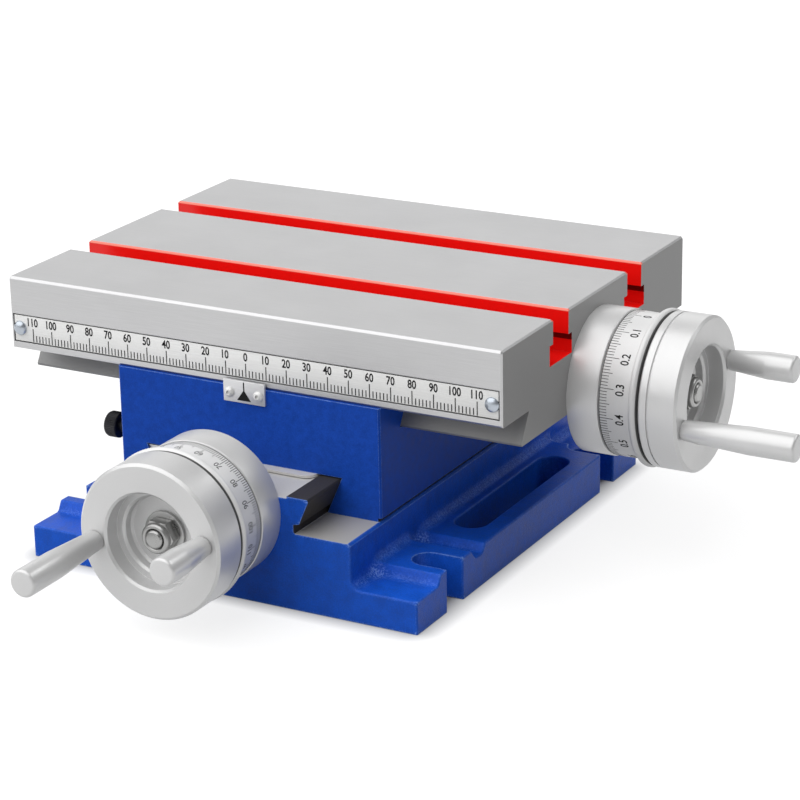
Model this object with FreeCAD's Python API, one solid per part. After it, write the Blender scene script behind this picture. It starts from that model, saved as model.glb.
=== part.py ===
import FreeCAD, Part
import math
import os

# A two-axis cross slide table: table on saddle on base, each on a dovetail way, with two
# handwheel screws. Millimetres, +Z up, origin at the centre of the base's underside.
# X runs along the table towards its handwheel, -Y points at the front handwheel.

Vector = FreeCAD.Vector

# Base casting
BASE_LENGTH = 220.0
BODY_WIDTH = 130.0
FLANGE_REACH = 31.0
WAY_HEIGHT = 34.5
UNDERSIDE_RELIEF = 3.0
UNDERSIDE_LAND = 14.0
UNDERSIDE_EDGE = 1.0
TROUGH_WIDTH = 33.0
TROUGH_FLOOR = 29.5
TROUGH_FRONT_WALL = 34.0
TROUGH_REAR_WALL = 12.0
TROUGH_CORNER = 5.0
SCREW_HOLE_GAP = 0.6

# Cross dovetail, cut on the base and in the saddle's underside
CROSS_TOP_WIDTH = 92.0
CROSS_HEIGHT = 16.2
CROSS_ANGLE = 66.0
CROSS_LAND = 10.8
CROSS_TOP_RELIEF = 0.9
ROOT_RELIEF_DEPTH = 2.8
ROOT_RELIEF_HEIGHT = 4.6
ROOT_RELIEF_SLOPE = 0.6

# Flanges, read from the front end to the rear end
PAD_HEIGHT = 14.4
BOSS_HEIGHT = 19.0
BLOCK_HEIGHT = 18.2
SLOT_PITCH = 152.6
U_SLOT_WIDTH = 14.2
U_SLOT_DEPTH = 19.6
BOSS_FRONT_LAND = 5.4
BOSS_REAR_LAND = 8.0
FRONT_RAMP = 2.5
REAR_RAMP = 4.0
VALLEY_LENGTH = 6.0
BLOCK_RAMP = 3.0
LONG_SLOT_WIDTH = 15.2
LONG_SLOT_LENGTH = 95.5
LONG_SLOT_EDGE_WALL = 8.8
LONG_SLOT_SETBACK = 11.7
FLANGE_ROOT = 10.0
FLANGE_FILLET = 4.0
FLANGE_EDGE = 0.8
HOLLOW_ROUND = 2.2
CREST_ROUND = 1.2
CAST_EDGE = 1.0

# Saddle casting
SADDLE_LENGTH = 186.0
SADDLE_CENTRE_Y = 10.0
SIDE_RELIEF = 1.5
SADDLE_EDGE = 0.8

# Table dovetail, cut under the table and in the saddle's top
TABLE_ROOT_WIDTH = 135.4
TABLE_DOVETAIL_HEIGHT = 13.6
TABLE_ANGLE = 60.0
SADDLE_TOP_HEIGHT = 85.0

# Table
TABLE_LENGTH = 243.0
TABLE_WIDTH = 184.4
TABLE_THICKNESS = 33.0
T_SLOT_SPACING = 75.0
T_SLOT_NECK = 15.0
T_SLOT_NECK_DEPTH = 11.0
T_SLOT_WIDTH = 21.5
T_SLOT_DEPTH = 20.0
T_SLOT_LIP = 0.8
TABLE_EDGE = 1.0
TABLE_END_EDGE = 0.8
CHANNEL_WIDTH = 33.0
CHANNEL_RISE = 6.5

# Scale plate, index plate and chip cover
SCALE_LENGTH = 240.0
SCALE_HEIGHT = 12.4
SCALE_BELOW_TOP = 17.1
SCALE_THICKNESS = 0.8
SCALE_REBATE = 1.0
SCALE_ROOM = 0.3
RIVET_RADIUS = 3.3
RIVET_INSET = 3.2
RIVET_DOME = 1.9
RIVET_SHANK_RADIUS = 1.5
RIVET_SHANK_LENGTH = 6.0
INDEX_WIDTH = 20.4
INDEX_HEIGHT = 9.8
INDEX_THICKNESS = 1.2
INDEX_OVERLAP = 2.7
INDEX_SCREW_SPACING = 14.4
INDEX_SCREW_DROP = 5.6
INDEX_SCREW_RADIUS = 1.2
INDEX_SCREW_LENGTH = 5.0
INDEX_SCREW_HEAD = 2.2
INDEX_SCREW_HEAD_HEIGHT = 1.3
INDEX_SCREW_SOCKET = 1.5
INDEX_SCREW_SOCKET_DEPTH = 0.5
COVER_WIDTH = 68.4
COVER_LENGTH = 52.0
COVER_THICKNESS = 1.1
COVER_REACH = 4.6
COVER_CORNER = 5.0
COVER_SCREW_INSET = 9.0
COVER_SCREW_SETBACK = 16.0
COVER_SCREW_RADIUS = 1.5
COVER_SCREW_HEAD = 2.6
COVER_SCREW_LENGTH = 7.5

# Gibs, their screws and the two lock screws
GIB_THICKNESS = 5.0
GIB_SETBACK = 1.0
GIB_END_GAP = 0.2
GIB_TOP_GAP = 0.6
GIB_SCREW_RADIUS = 3.0
GIB_SCREW_PROUD = 8.5
GIB_SCREW_SOCKET = 3.0
GIB_NUT_FLATS = 10.0
GIB_NUT_HEIGHT = 5.0
GIB_NUT_CHAMFER = 0.6
CROSS_GIB_SCREW_PITCH = 42.0
CROSS_GIB_SCREW_RISE = 8.9
CROSS_GIB_SCREW_INSET = 15.0
TABLE_GIB_SCREW_PITCH = 40.0
TABLE_GIB_OUTER_PITCH = 96.0
LOCK_SCREW_RADIUS = 3.0
LOCK_HEAD_RADIUS = 5.9
LOCK_HEAD_LENGTH = 6.4
LOCK_HEAD_EDGE = 0.9
LOCK_SOCKET = 5.0
SADDLE_LOCK_SHANK = 17.0
SADDLE_LOCK_SETBACK = 25.0
SADDLE_LOCK_RISE = 12.0
TABLE_LOCK_SHANK = 9.0

# Feed screws and nuts
SCREW_RADIUS = 6.0
SCREW_TIP = 1.0
CROSS_SCREW_DROP = 8.4
TABLE_SCREW_RISE = 7.0
NUT_WIDTH = 28.0
NUT_LENGTH = 60.0
NUT_WALL = 10.0
CROSS_NUT_POCKET = 4.7
TABLE_NUT_POCKET = 5.0
NUT_SCREW_RADIUS = 2.5
NUT_SCREW_HEAD = 4.25
NUT_SCREW_HEAD_LENGTH = 5.0
NUT_SCREW_SINK = 5.2
NUT_SCREW_SOCKET = 4.0
NUT_SCREW_BITE = 4.0
NUT_SCREW_INSET = 6.0
TABLE_SCREW_SHORT = 9.5
CROSS_SCREW_SHORT = 18.0

# Bearing housing, measured outwards from the face that it is bolted to
HOUSING_RADIUS = 32.1
HOUSING_LENGTH = 14.2
HOUSING_EDGE = 0.7
COLLAR_RADIUS = 12.0
COLLAR_LENGTH = 4.4
COLLAR_RECESS_RADIUS = 13.0
WASHER_BORE_GAP = 0.2
COLLAR_RECESS_DEPTH = 6.5
THRUST_THICKNESS = 1.4
BUSH_RADIUS = 10.0
OUTER_WASHER_THICKNESS = 1.0
OUTER_WASHER_RADIUS = 11.5
HOUSING_BOLT_RADIUS = 24.0
HOUSING_BOLT_SHANK = 2.5
HOUSING_BOLT_HEAD = 4.25
HOUSING_BOLT_HEAD_LENGTH = 5.0
HOUSING_BOLT_GRIP = 12.0
HOUSING_BOLT_SPREAD = 70.0
HOUSING_BOLT_SINK = 0.4
HOUSING_BOLT_SOCKET = 4.0
CROSS_BOLT_MIDDLE = -90.0
TABLE_BOLT_MIDDLE = 90.0

# Dial ring
DIAL_RADIUS = 31.6
DIAL_LENGTH = 18.1
DIAL_FLANGE_RADIUS = 34.4
DIAL_FLANGE_LENGTH = 3.8
DIAL_BORE_RADIUS = 24.0
DIAL_GAP = 0.3
DIAL_EDGE = 0.3
DIAL_SWELL = 1.2
SLEEVE_GAP = 0.6
SPRING_SETBACK = 7.2
SPRING_THICKNESS = 0.8
SPRING_WIDTH = 4.0
SPRING_GAP_ANGLE = 50.0

# Handwheel
WHEEL_RADIUS = 33.85
WHEEL_GAP = 0.8
RIM_LENGTH = 17.3
RIM_EDGE = 1.6
DISH_RADIUS = 20.8
DISH_STEP_DEPTH = 8.0
DISH_INNER_RADIUS = 17.0
DISH_DEPTH = 13.3
DISH_EDGE = 1.0
DISH_CORNER = 1.0
SLEEVE_WALL = 3.6
HUB_RADIUS = 13.0
SEAT_RADIUS = 5.0
SEAT_SETBACK = 2.0
SEAT_FIT = 0.02
RIM_GROOVE_OFFSET = 4.0
RIM_GROOVE = 0.5
RIM_GROOVE_DEPTH = 0.8
STUD_RADIUS = 4.0
WASHER_RADIUS = 9.5
WASHER_THICKNESS = 1.6
WHEEL_NUT_FLATS = 13.4
WHEEL_NUT_HEIGHT = 7.6
NUT_COLLAR_LENGTH = 2.2
NUT_COLLAR_EDGE = 0.7
STUD_PROUD = 0.8
KEY_SIZE = 3.0
KEY_LENGTH = 14.0
KEY_SETBACK = 2.0

# Handles
HANDLE_CIRCLE = 26.5
HANDLE_NECK_RADIUS = 4.4
HANDLE_GRIP_RADIUS = 6.0
HANDLE_END_ROUND = 1.8
HANDLE_SPIGOT_RADIUS = 3.5
HANDLE_SPIGOT_LENGTH = 8.0
HANDLE_SEAT_GROOVE = 0.6
LONG_HANDLE = 51.0
SHORT_HANDLE = 30.5
LONG_TAPER = 29.6
SHORT_TAPER = 17.7
CROSS_HANDLE_ANGLE = 7.5
TABLE_HANDLE_ANGLE = 17.0

# Clearances, and how far cutters run past a face
OVERCUT = 1.0
BOLT_HEAD_GAP = 0.25
SLIDE_GAP = 0.05
RUNNING_GAP = 0.05
CEILING_GAP = 0.6
FLOOR_GAP = 0.4

# Heights and places that follow from the sizes above
TABLE_TOP = SADDLE_TOP_HEIGHT + TABLE_THICKNESS
CROSS_TOP = WAY_HEIGHT + CROSS_HEIGHT
CROSS_CEILING = CROSS_TOP + CEILING_GAP
TABLE_DOVETAIL_BOTTOM = SADDLE_TOP_HEIGHT - TABLE_DOVETAIL_HEIGHT
SADDLE_FLOOR = TABLE_DOVETAIL_BOTTOM - FLOOR_GAP
CROSS_AXIS_Z = CROSS_TOP - CROSS_SCREW_DROP
TABLE_AXIS_Z = TABLE_DOVETAIL_BOTTOM + TABLE_SCREW_RISE
BASE_FRONT = -BASE_LENGTH / 2
BASE_REAR = BASE_LENGTH / 2
SADDLE_FRONT = SADDLE_CENTRE_Y - SADDLE_LENGTH / 2
SADDLE_REAR = SADDLE_CENTRE_Y + SADDLE_LENGTH / 2
TABLE_FRONT = SADDLE_CENTRE_Y - TABLE_WIDTH / 2
TABLE_REAR = SADDLE_CENTRE_Y + TABLE_WIDTH / 2
TABLE_END = TABLE_LENGTH / 2
FLANGE_HALF = BODY_WIDTH / 2 + FLANGE_REACH


def box(x0, x1, y0, y1, z0, z1):
    """Block between two corners."""
    return Part.makeBox(x1 - x0, y1 - y0, z1 - z0, Vector(x0, y0, z0))


def prism_y(points, y0, y1):
    """Outline in X and Z, run along Y."""
    wire = Part.makePolygon([Vector(x, y0, z) for x, z in points + points[:1]])
    return Part.Face(wire).extrude(Vector(0, y1 - y0, 0))


def prism_x(points, x0, x1):
    """Outline in Y and Z, run along X."""
    wire = Part.makePolygon([Vector(x0, y, z) for y, z in points + points[:1]])
    return Part.Face(wire).extrude(Vector(x1 - x0, 0, 0))


def rod(radius, start, direction, length):
    """Round bar from a start point."""
    return Part.makeCylinder(radius, length, Vector(*start), Vector(*direction))


def turned(points):
    """Solid of revolution about +Z from (distance along, radius) points."""
    wire = Part.makePolygon([Vector(r, 0, a) for a, r in points + points[:1]])
    return Part.Face(wire).revolve(Vector(0, 0, 0), Vector(0, 0, 1), 360)


def hexagon(flats, height, start, direction, bore=0.0, chamfer=0.0):
    """Hexagonal prism along a direction, with its corners turned off and an optional bore."""
    corner = flats / 2 / math.cos(math.pi / 6)
    turns = [k * math.pi / 3 for k in range(7)]
    points = [Vector(corner * math.cos(a), corner * math.sin(a), 0) for a in turns]
    body = Part.Face(Part.makePolygon(points)).extrude(Vector(0, 0, height))
    if chamfer:
        cone = turned([(0, 0), (0, corner * 1.2), (height - chamfer, corner * 1.02),
                       (height, corner - chamfer * 1.5), (height, 0)])
        body = body.common(cone)
    if bore:
        body = body.cut(Part.makeCylinder(bore, height))
    return aimed(body, start, direction)


def aimed(shape, start, direction):
    """Turn a shape made along +Z to a direction and move its 0 to a point."""
    turn = FreeCAD.Rotation(Vector(0, 0, 1), Vector(*direction))
    shape.Placement = FreeCAD.Placement(Vector(*start), turn)
    return shape


def edges_where(shape, test):
    """Edges whose two ends and middle all pass a test."""
    chosen = []
    for edge in shape.Edges:
        middle = edge.valueAt((edge.FirstParameter + edge.LastParameter) / 2)
        points = [v.Point for v in edge.Vertexes] + [middle]
        if len(points) == 3 and all(test(p) for p in points):
            chosen.append(edge)
    return chosen


def upright(shape):
    """Straight edges that run up and down."""
    return [e for e in shape.Edges if rise(e) > 0.1]


def rise(edge):
    """Difference in height between an edge's two ends."""
    return abs(edge.Vertexes[0].Point.z - edge.Vertexes[-1].Point.z)


def close(a, b):
    """True where two coordinates are the same to a hundredth of a millimetre."""
    return abs(a - b) < 0.01


def group(shapes):
    """Separate solids kept together in one node."""
    return Part.makeCompound(shapes)


class Spindle:
    """Axis of a feed screw: places what is made along +Z, measured outwards from the bolted face."""

    def __init__(self, origin, outward):
        d = Vector(*outward)
        up = Vector(0, 0, 1)
        side = up.cross(d)
        o = Vector(*origin)
        self.matrix = FreeCAD.Matrix(side.x, up.x, d.x, o.x,
                                     side.y, up.y, d.y, o.y,
                                     side.z, up.z, d.z, o.z,
                                     0, 0, 0, 1)

    def put(self, shape):
        """Move a shape from the spindle's frame to the part's frame."""
        return shape.transformed(self.matrix)


def flank_shift(height, angle):
    """Sideways run of a dovetail flank over a height."""
    return height / math.tan(math.radians(angle))


def cross_half_width(z):
    """Half width of the base's dovetail at a height."""
    return CROSS_TOP_WIDTH / 2 - flank_shift(CROSS_TOP - z, CROSS_ANGLE)


def table_half_width(z):
    """Half width of the table's dovetail at a height."""
    return TABLE_ROOT_WIDTH / 2 + flank_shift(SADDLE_TOP_HEIGHT - z, TABLE_ANGLE)


def gib_offset(angle):
    """Sideways room that a gib of full thickness takes at a flank."""
    return (GIB_THICKNESS + 2 * RUNNING_GAP) / math.sin(math.radians(angle))


# Base

def base_outline():
    """Half outline of the base body and dovetail, from the outer bottom corner to the top's recess."""
    edge = CAST_EDGE
    relief_top = WAY_HEIGHT + ROOT_RELIEF_HEIGHT
    flank_end = cross_half_width(relief_top)
    relief = flank_end - ROOT_RELIEF_DEPTH
    top = CROSS_TOP_WIDTH / 2
    land = top - CROSS_LAND
    return [
        (BODY_WIDTH / 2, 0),
        (BODY_WIDTH / 2, WAY_HEIGHT - edge),
        (BODY_WIDTH / 2 - edge, WAY_HEIGHT),
        (cross_half_width(WAY_HEIGHT), WAY_HEIGHT),
        (relief, WAY_HEIGHT + ROOT_RELIEF_SLOPE),
        (relief, relief_top - ROOT_RELIEF_SLOPE),
        (flank_end, relief_top),
        (cross_half_width(CROSS_TOP - edge), CROSS_TOP - edge),
        (top - edge, CROSS_TOP),
        (land, CROSS_TOP),
        (land, CROSS_TOP - CROSS_TOP_RELIEF),
    ]


def base_body():
    """Body with flat ways, dovetail and root reliefs."""
    right = base_outline()
    left = [(-x, z) for x, z in reversed(right)]
    return prism_y(right + left, BASE_FRONT, BASE_REAR)


def flange_outline():
    """Outline of a flange along Y: front pad, slotted boss, valley, block, rear ear."""
    front_slot = -SLOT_PITCH / 2
    rear_slot = SLOT_PITCH / 2
    boss_start = front_slot - U_SLOT_WIDTH / 2 - BOSS_FRONT_LAND
    boss_end = front_slot + U_SLOT_WIDTH / 2 + BOSS_REAR_LAND
    valley_start = boss_end + REAR_RAMP
    valley_end = valley_start + VALLEY_LENGTH
    block_end = rear_slot
    return [
        (BASE_FRONT, 0),
        (BASE_FRONT, PAD_HEIGHT),
        (boss_start - FRONT_RAMP, PAD_HEIGHT),
        (boss_start, BOSS_HEIGHT),
        (boss_end, BOSS_HEIGHT),
        (valley_start, PAD_HEIGHT),
        (valley_end, PAD_HEIGHT),
        (valley_end + BLOCK_RAMP, BLOCK_HEIGHT),
        (block_end, BLOCK_HEIGHT),
        (block_end, PAD_HEIGHT),
        (BASE_REAR, PAD_HEIGHT),
        (BASE_REAR, 0),
    ]


def flange(side):
    """One foot flange with its ramps rounded, on the right (+1) or left (-1)."""
    inner = side * (BODY_WIDTH / 2 - FLANGE_ROOT)
    outer = side * FLANGE_HALF
    solid = prism_x(flange_outline(), min(inner, outer), max(inner, outer))
    points = flange_outline()
    hollow = [points[2], points[5], points[6]]
    crest = [points[3], points[4], points[7]]
    for corners, radius in ((hollow, HOLLOW_ROUND), (crest, CREST_ROUND)):
        chosen = []
        for y, z in corners:
            chosen += edges_where(solid, lambda p, y=y, z=z: close(p.y, y) and close(p.z, z))
        solid = solid.makeFillet(radius, chosen)
    return solid


def long_slot_centre():
    """X of the closed slot's middle, on the right side."""
    return FLANGE_HALF - LONG_SLOT_EDGE_WALL - LONG_SLOT_WIDTH / 2


def long_slot_start():
    """Y of the closed slot's front end."""
    points = flange_outline()
    return points[7][0] + LONG_SLOT_SETBACK


def long_slot(side):
    """Closed obround slot through the block."""
    x = side * long_slot_centre()
    r = LONG_SLOT_WIDTH / 2
    y0 = long_slot_start() + r
    y1 = long_slot_start() + LONG_SLOT_LENGTH - r
    high = BOSS_HEIGHT + OVERCUT
    cutter = box(x - r, x + r, y0, y1, -OVERCUT, high)
    for y in (y0, y1):
        cutter = cutter.fuse(rod(r, (x, y, -OVERCUT), (0, 0, 1), high + OVERCUT))
    return cutter


def u_slot(side, end):
    """Open slot at the outer edge of a flange, at the front (-1) or rear (+1)."""
    r = U_SLOT_WIDTH / 2
    y = end * SLOT_PITCH / 2
    x = FLANGE_HALF - U_SLOT_DEPTH + r
    high = BOSS_HEIGHT + OVERCUT
    cutter = rod(r, (side * x, y, -OVERCUT), (0, 0, 1), high + OVERCUT)
    xa, xb = sorted((side * x, side * (FLANGE_HALF + OVERCUT)))
    return cutter.fuse(box(xa, xb, y - r, y + r, -OVERCUT, high))


def rounded_block(x0, x1, y0, y1, z0, z1, radius):
    """Block with its four upright edges rounded."""
    solid = box(x0, x1, y0, y1, z0, z1)
    return solid.makeFillet(radius, upright(solid))


def flange_edges(solid):
    """Outer and end edges of the flanges and the rims of the closed slots, all but the underside's."""
    wall = BODY_WIDTH / 2
    radius = LONG_SLOT_WIDTH / 2
    start = long_slot_start() + radius
    end = long_slot_start() + LONG_SLOT_LENGTH - radius

    def outer(p):
        return close(abs(p.x), FLANGE_HALF)

    def raised_outer(p):
        return outer(p) and p.z > UNDERSIDE_EDGE

    def raised_end(p):
        on_end = close(abs(p.y), BASE_REAR) and UNDERSIDE_EDGE < p.z < BOSS_HEIGHT
        return on_end and (abs(p.x) > wall or close(abs(p.x), wall))

    def rim(p):
        nearest = min(max(p.y, start), end)
        away = math.hypot(abs(p.x) - long_slot_centre(), p.y - nearest)
        return close(away, radius) and close(p.z, BLOCK_HEIGHT)

    def corner(edge):
        return rise(edge) > PAD_HEIGHT / 2 and min(v.Point.z for v in edge.Vertexes) < UNDERSIDE_EDGE

    chosen = edges_where(solid, raised_outer)
    chosen += edges_where(solid, raised_end)
    chosen += [e for e in edges_where(solid, outer) if corner(e)]
    chosen += edges_where(solid, rim)
    return chosen


def flange_seam(solid):
    """Edges where the flanges' tops meet the body's walls."""
    def on_seam(p):
        level = PAD_HEIGHT < p.z < BOSS_HEIGHT or close(p.z, PAD_HEIGHT) or close(p.z, BOSS_HEIGHT)
        return close(abs(p.x), BODY_WIDTH / 2) and level
    return edges_where(solid, on_seam)


def base_casting():
    """Base with its body, flanges, slots, screw trough and bearing holes."""
    solid = base_body()
    for side in (1, -1):
        solid = solid.fuse(flange(side))
    solid = solid.removeSplitter()
    solid = solid.makeFillet(FLANGE_FILLET, flange_seam(solid))
    for side in (1, -1):
        solid = solid.cut(long_slot(side))
        for end in (-1, 1):
            solid = solid.cut(u_slot(side, end))
    solid = solid.makeFillet(FLANGE_EDGE, flange_edges(solid))
    trough = TROUGH_WIDTH / 2
    front = BASE_FRONT + TROUGH_FRONT_WALL
    rear = BASE_REAR - TROUGH_REAR_WALL
    solid = solid.cut(rounded_block(-trough, trough, front, rear, TROUGH_FLOOR, CROSS_TOP + TROUGH_CORNER,
                                    TROUGH_CORNER))
    half = BODY_WIDTH / 2 - UNDERSIDE_LAND
    reach = BASE_LENGTH / 2 - UNDERSIDE_LAND
    for y0, y1 in ((-reach, -UNDERSIDE_LAND), (UNDERSIDE_LAND, reach)):
        solid = solid.cut(rounded_block(-half, half, y0, y1, -OVERCUT, UNDERSIDE_RELIEF, UNDERSIDE_LAND / 2))
    hole = rod(SCREW_RADIUS + SCREW_HOLE_GAP, (0, BASE_FRONT - OVERCUT, CROSS_AXIS_Z), (0, 1, 0),
               TROUGH_FRONT_WALL + 2 * OVERCUT)
    solid = solid.cut(hole)
    for tapped in housing_bolt_holes(CROSS_SPINDLE, CROSS_BOLT_MIDDLE):
        solid = solid.cut(tapped)
    return solid


# Saddle

def cross_cavity():
    """Female dovetail for the base, with room for the gib on its left flank."""
    z0 = WAY_HEIGHT - OVERCUT
    z1 = CROSS_CEILING
    gap = RUNNING_GAP / math.sin(math.radians(CROSS_ANGLE))
    right = [(cross_half_width(z) + gap, z) for z in (z0, z1)]
    left = [(-cross_half_width(z) - gib_offset(CROSS_ANGLE), z) for z in (z1, z0)]
    return prism_y(right + left, SADDLE_FRONT - OVERCUT, SADDLE_REAR + OVERCUT)


def table_cavity():
    """Female dovetail for the table, with room for the gib on its rear flank."""
    z0 = SADDLE_FLOOR
    z1 = SADDLE_TOP_HEIGHT + OVERCUT
    gap = RUNNING_GAP / math.sin(math.radians(TABLE_ANGLE))
    c = SADDLE_CENTRE_Y
    front = [(c - table_half_width(z) - gap, z) for z in (z0, z1)]
    rear = [(c + table_half_width(z) + gib_offset(TABLE_ANGLE), z) for z in (z1, z0)]
    return prism_x(front + rear, -BODY_WIDTH / 2 - OVERCUT, BODY_WIDTH / 2 + OVERCUT)


def cross_gib_screw_places():
    """Y of each cross gib screw, behind the lock screw."""
    start = SADDLE_FRONT + SADDLE_LOCK_SETBACK + CROSS_GIB_SCREW_PITCH / 2
    count = int((SADDLE_REAR - CROSS_GIB_SCREW_INSET - start) // CROSS_GIB_SCREW_PITCH) + 1
    return [start + k * CROSS_GIB_SCREW_PITCH for k in range(count)]


def table_gib_screw_places():
    """X of each table gib screw, leaving the middle for the lock screw."""
    inner = TABLE_GIB_SCREW_PITCH / 2
    outer = TABLE_GIB_OUTER_PITCH / 2
    return [-outer, -inner, inner, outer]


CROSS_GIB_Z = WAY_HEIGHT + CROSS_GIB_SCREW_RISE
SADDLE_LOCK_Z = WAY_HEIGHT + SADDLE_LOCK_RISE
SADDLE_LOCK_Y = SADDLE_FRONT + SADDLE_LOCK_SETBACK
TABLE_GIB_Z = TABLE_DOVETAIL_BOTTOM + TABLE_DOVETAIL_HEIGHT / 2
TABLE_LOCK_X = 0.0


def cross_gib_face(z):
    """Outer face of the cross gib (negative X) at a height."""
    return -cross_half_width(z) - (GIB_THICKNESS + RUNNING_GAP) / math.sin(math.radians(CROSS_ANGLE))


def table_gib_face(z):
    """Outer face of the table gib (towards the rear) at a height."""
    room = (GIB_THICKNESS + RUNNING_GAP) / math.sin(math.radians(TABLE_ANGLE))
    return SADDLE_CENTRE_Y + table_half_width(z) + room


def index_screw_places():
    """X of the two index plate screws."""
    return [-INDEX_SCREW_SPACING / 2, INDEX_SCREW_SPACING / 2]


INDEX_SCREW_Z = SADDLE_TOP_HEIGHT + INDEX_OVERLAP - INDEX_SCREW_DROP
COVER_SCREW_X = COVER_WIDTH / 2 - COVER_SCREW_INSET
COVER_SCREW_Y = SADDLE_FRONT + COVER_SCREW_SETBACK


def cross_nut_screw_places():
    """Y of the two cross nut screws, near the nut's ends."""
    half = NUT_LENGTH / 2 - NUT_SCREW_INSET
    return [SADDLE_CENTRE_Y - half, SADDLE_CENTRE_Y + half]


def table_nut_screw_places():
    """X of the two table nut screws, near the nut's ends."""
    half = NUT_LENGTH / 2 - NUT_SCREW_INSET
    return [-half, half]


def saddle_casting():
    """Saddle block with both female dovetails, nut pockets and all its screw holes."""
    half = BODY_WIDTH / 2
    bottom = WAY_HEIGHT + SLIDE_GAP
    top = SADDLE_TOP_HEIGHT - SLIDE_GAP
    solid = box(-half, half, SADDLE_FRONT, SADDLE_REAR, bottom, top)
    solid = solid.makeChamfer(SADDLE_EDGE, upright(solid))
    for side in (1, -1):
        x0, x1 = sorted((side * (half - SIDE_RELIEF), side * (half + OVERCUT)))
        solid = solid.cut(box(x0, x1, SADDLE_FRONT - OVERCUT, SADDLE_REAR + OVERCUT,
                              bottom - OVERCUT, bottom + SIDE_RELIEF))
    solid = solid.cut(cross_cavity())
    solid = solid.cut(table_cavity())
    for cutter in nut_cutters() + gib_screw_cutters() + front_screw_cutters():
        solid = solid.cut(cutter)
    return solid


def nut_cutters():
    """Pockets for the feed nuts, and their screws' counterbored holes through the saddle's floor."""
    wide = NUT_WIDTH / 2
    long = NUT_LENGTH / 2
    c = SADDLE_CENTRE_Y
    web = SADDLE_FLOOR - CROSS_CEILING
    head = NUT_SCREW_HEAD + BOLT_HEAD_GAP
    cross_roof = CROSS_CEILING + CROSS_NUT_POCKET
    table_floor = SADDLE_FLOOR - TABLE_NUT_POCKET
    cutters = [box(-wide, wide, c - long, c + long, CROSS_CEILING - OVERCUT, cross_roof),
               box(-long, long, c - wide, c + wide, table_floor, SADDLE_FLOOR + OVERCUT)]
    for y in cross_nut_screw_places():
        cutters.append(rod(NUT_SCREW_RADIUS, (0, y, CROSS_CEILING), (0, 0, 1), web + OVERCUT))
        cutters.append(rod(head, (0, y, SADDLE_FLOOR + OVERCUT), (0, 0, -1), NUT_SCREW_SINK + OVERCUT))
    for x in table_nut_screw_places():
        cutters.append(rod(NUT_SCREW_RADIUS, (x, c, SADDLE_FLOOR), (0, 0, -1), web + OVERCUT))
        cutters.append(rod(head, (x, c, CROSS_CEILING - OVERCUT), (0, 0, 1), NUT_SCREW_SINK + OVERCUT))
    return cutters


def gib_screw_cutters():
    """Holes for the gib screws and the two lock screws, from the outer faces through to the gibs."""
    side = -BODY_WIDTH / 2 - OVERCUT
    rear = SADDLE_REAR + OVERCUT
    clear = LOCK_SCREW_RADIUS + RUNNING_GAP
    to_cross_gib = cross_gib_face(WAY_HEIGHT) - side
    to_table_gib = rear - table_gib_face(SADDLE_TOP_HEIGHT)
    cutters = [rod(GIB_SCREW_RADIUS, (side, y, CROSS_GIB_Z), (1, 0, 0), to_cross_gib)
               for y in cross_gib_screw_places()]
    cutters += [rod(GIB_SCREW_RADIUS, (x, rear, TABLE_GIB_Z), (0, -1, 0), to_table_gib)
                for x in table_gib_screw_places()]
    cutters.append(rod(clear, (side, SADDLE_LOCK_Y, SADDLE_LOCK_Z), (1, 0, 0), to_cross_gib))
    cutters.append(rod(clear, (TABLE_LOCK_X, rear, TABLE_GIB_Z), (0, -1, 0), to_table_gib))
    return cutters


def front_screw_cutters():
    """Tapped holes for the index plate and the chip cover."""
    cutters = [rod(INDEX_SCREW_RADIUS, (x, SADDLE_FRONT - OVERCUT, INDEX_SCREW_Z), (0, 1, 0),
                   INDEX_SCREW_LENGTH + 2 * OVERCUT) for x in index_screw_places()]
    cutters += [rod(COVER_SCREW_RADIUS, (x, COVER_SCREW_Y, CROSS_CEILING - OVERCUT), (0, 0, 1),
                    COVER_SCREW_LENGTH + 2 * OVERCUT) for x in (-COVER_SCREW_X, COVER_SCREW_X)]
    return cutters


def gib_strip(inner, outer, z0, z1):
    """Corner points of a gib's section between two flank lines."""
    return [(inner(z0), z0), (inner(z1), z1), (outer(z1), z1), (outer(z0), z0)]


def cross_gib():
    """Flat gib between the base's left flank and the saddle."""
    gap = RUNNING_GAP / math.sin(math.radians(CROSS_ANGLE))
    points = gib_strip(lambda z: -cross_half_width(z) - gap, cross_gib_face,
                       WAY_HEIGHT + GIB_TOP_GAP, CROSS_TOP - GIB_END_GAP)
    return prism_y(points, SADDLE_FRONT + GIB_SETBACK, SADDLE_REAR - GIB_SETBACK)


def table_gib():
    """Flat gib between the table's rear flank and the saddle."""
    gap = RUNNING_GAP / math.sin(math.radians(TABLE_ANGLE))
    points = gib_strip(lambda z: SADDLE_CENTRE_Y + table_half_width(z) + gap, table_gib_face,
                       TABLE_DOVETAIL_BOTTOM + GIB_END_GAP, SADDLE_TOP_HEIGHT - GIB_TOP_GAP)
    return prism_x(points, -BODY_WIDTH / 2 + GIB_SETBACK, BODY_WIDTH / 2 - GIB_SETBACK)


def set_screw(start, direction, length):
    """Gib screw with a hexagon socket in its outer end."""
    screw = rod(GIB_SCREW_RADIUS, start, direction, length)
    return screw.cut(hexagon(GIB_SCREW_SOCKET, GIB_SCREW_SOCKET, start, direction))


def lock_nut(start, direction):
    """Hexagon nut that locks a gib screw."""
    return hexagon(GIB_NUT_FLATS, GIB_NUT_HEIGHT, start, direction, GIB_SCREW_RADIUS, GIB_NUT_CHAMFER)


def cross_gib_screws():
    """Set screws through the saddle's left cheek onto the cross gib."""
    outer = -BODY_WIDTH / 2 - GIB_SCREW_PROUD
    tip = cross_gib_face(CROSS_GIB_Z + GIB_SCREW_RADIUS)
    return group([set_screw((outer, y, CROSS_GIB_Z), (1, 0, 0), tip - outer)
                  for y in cross_gib_screw_places()])


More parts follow.
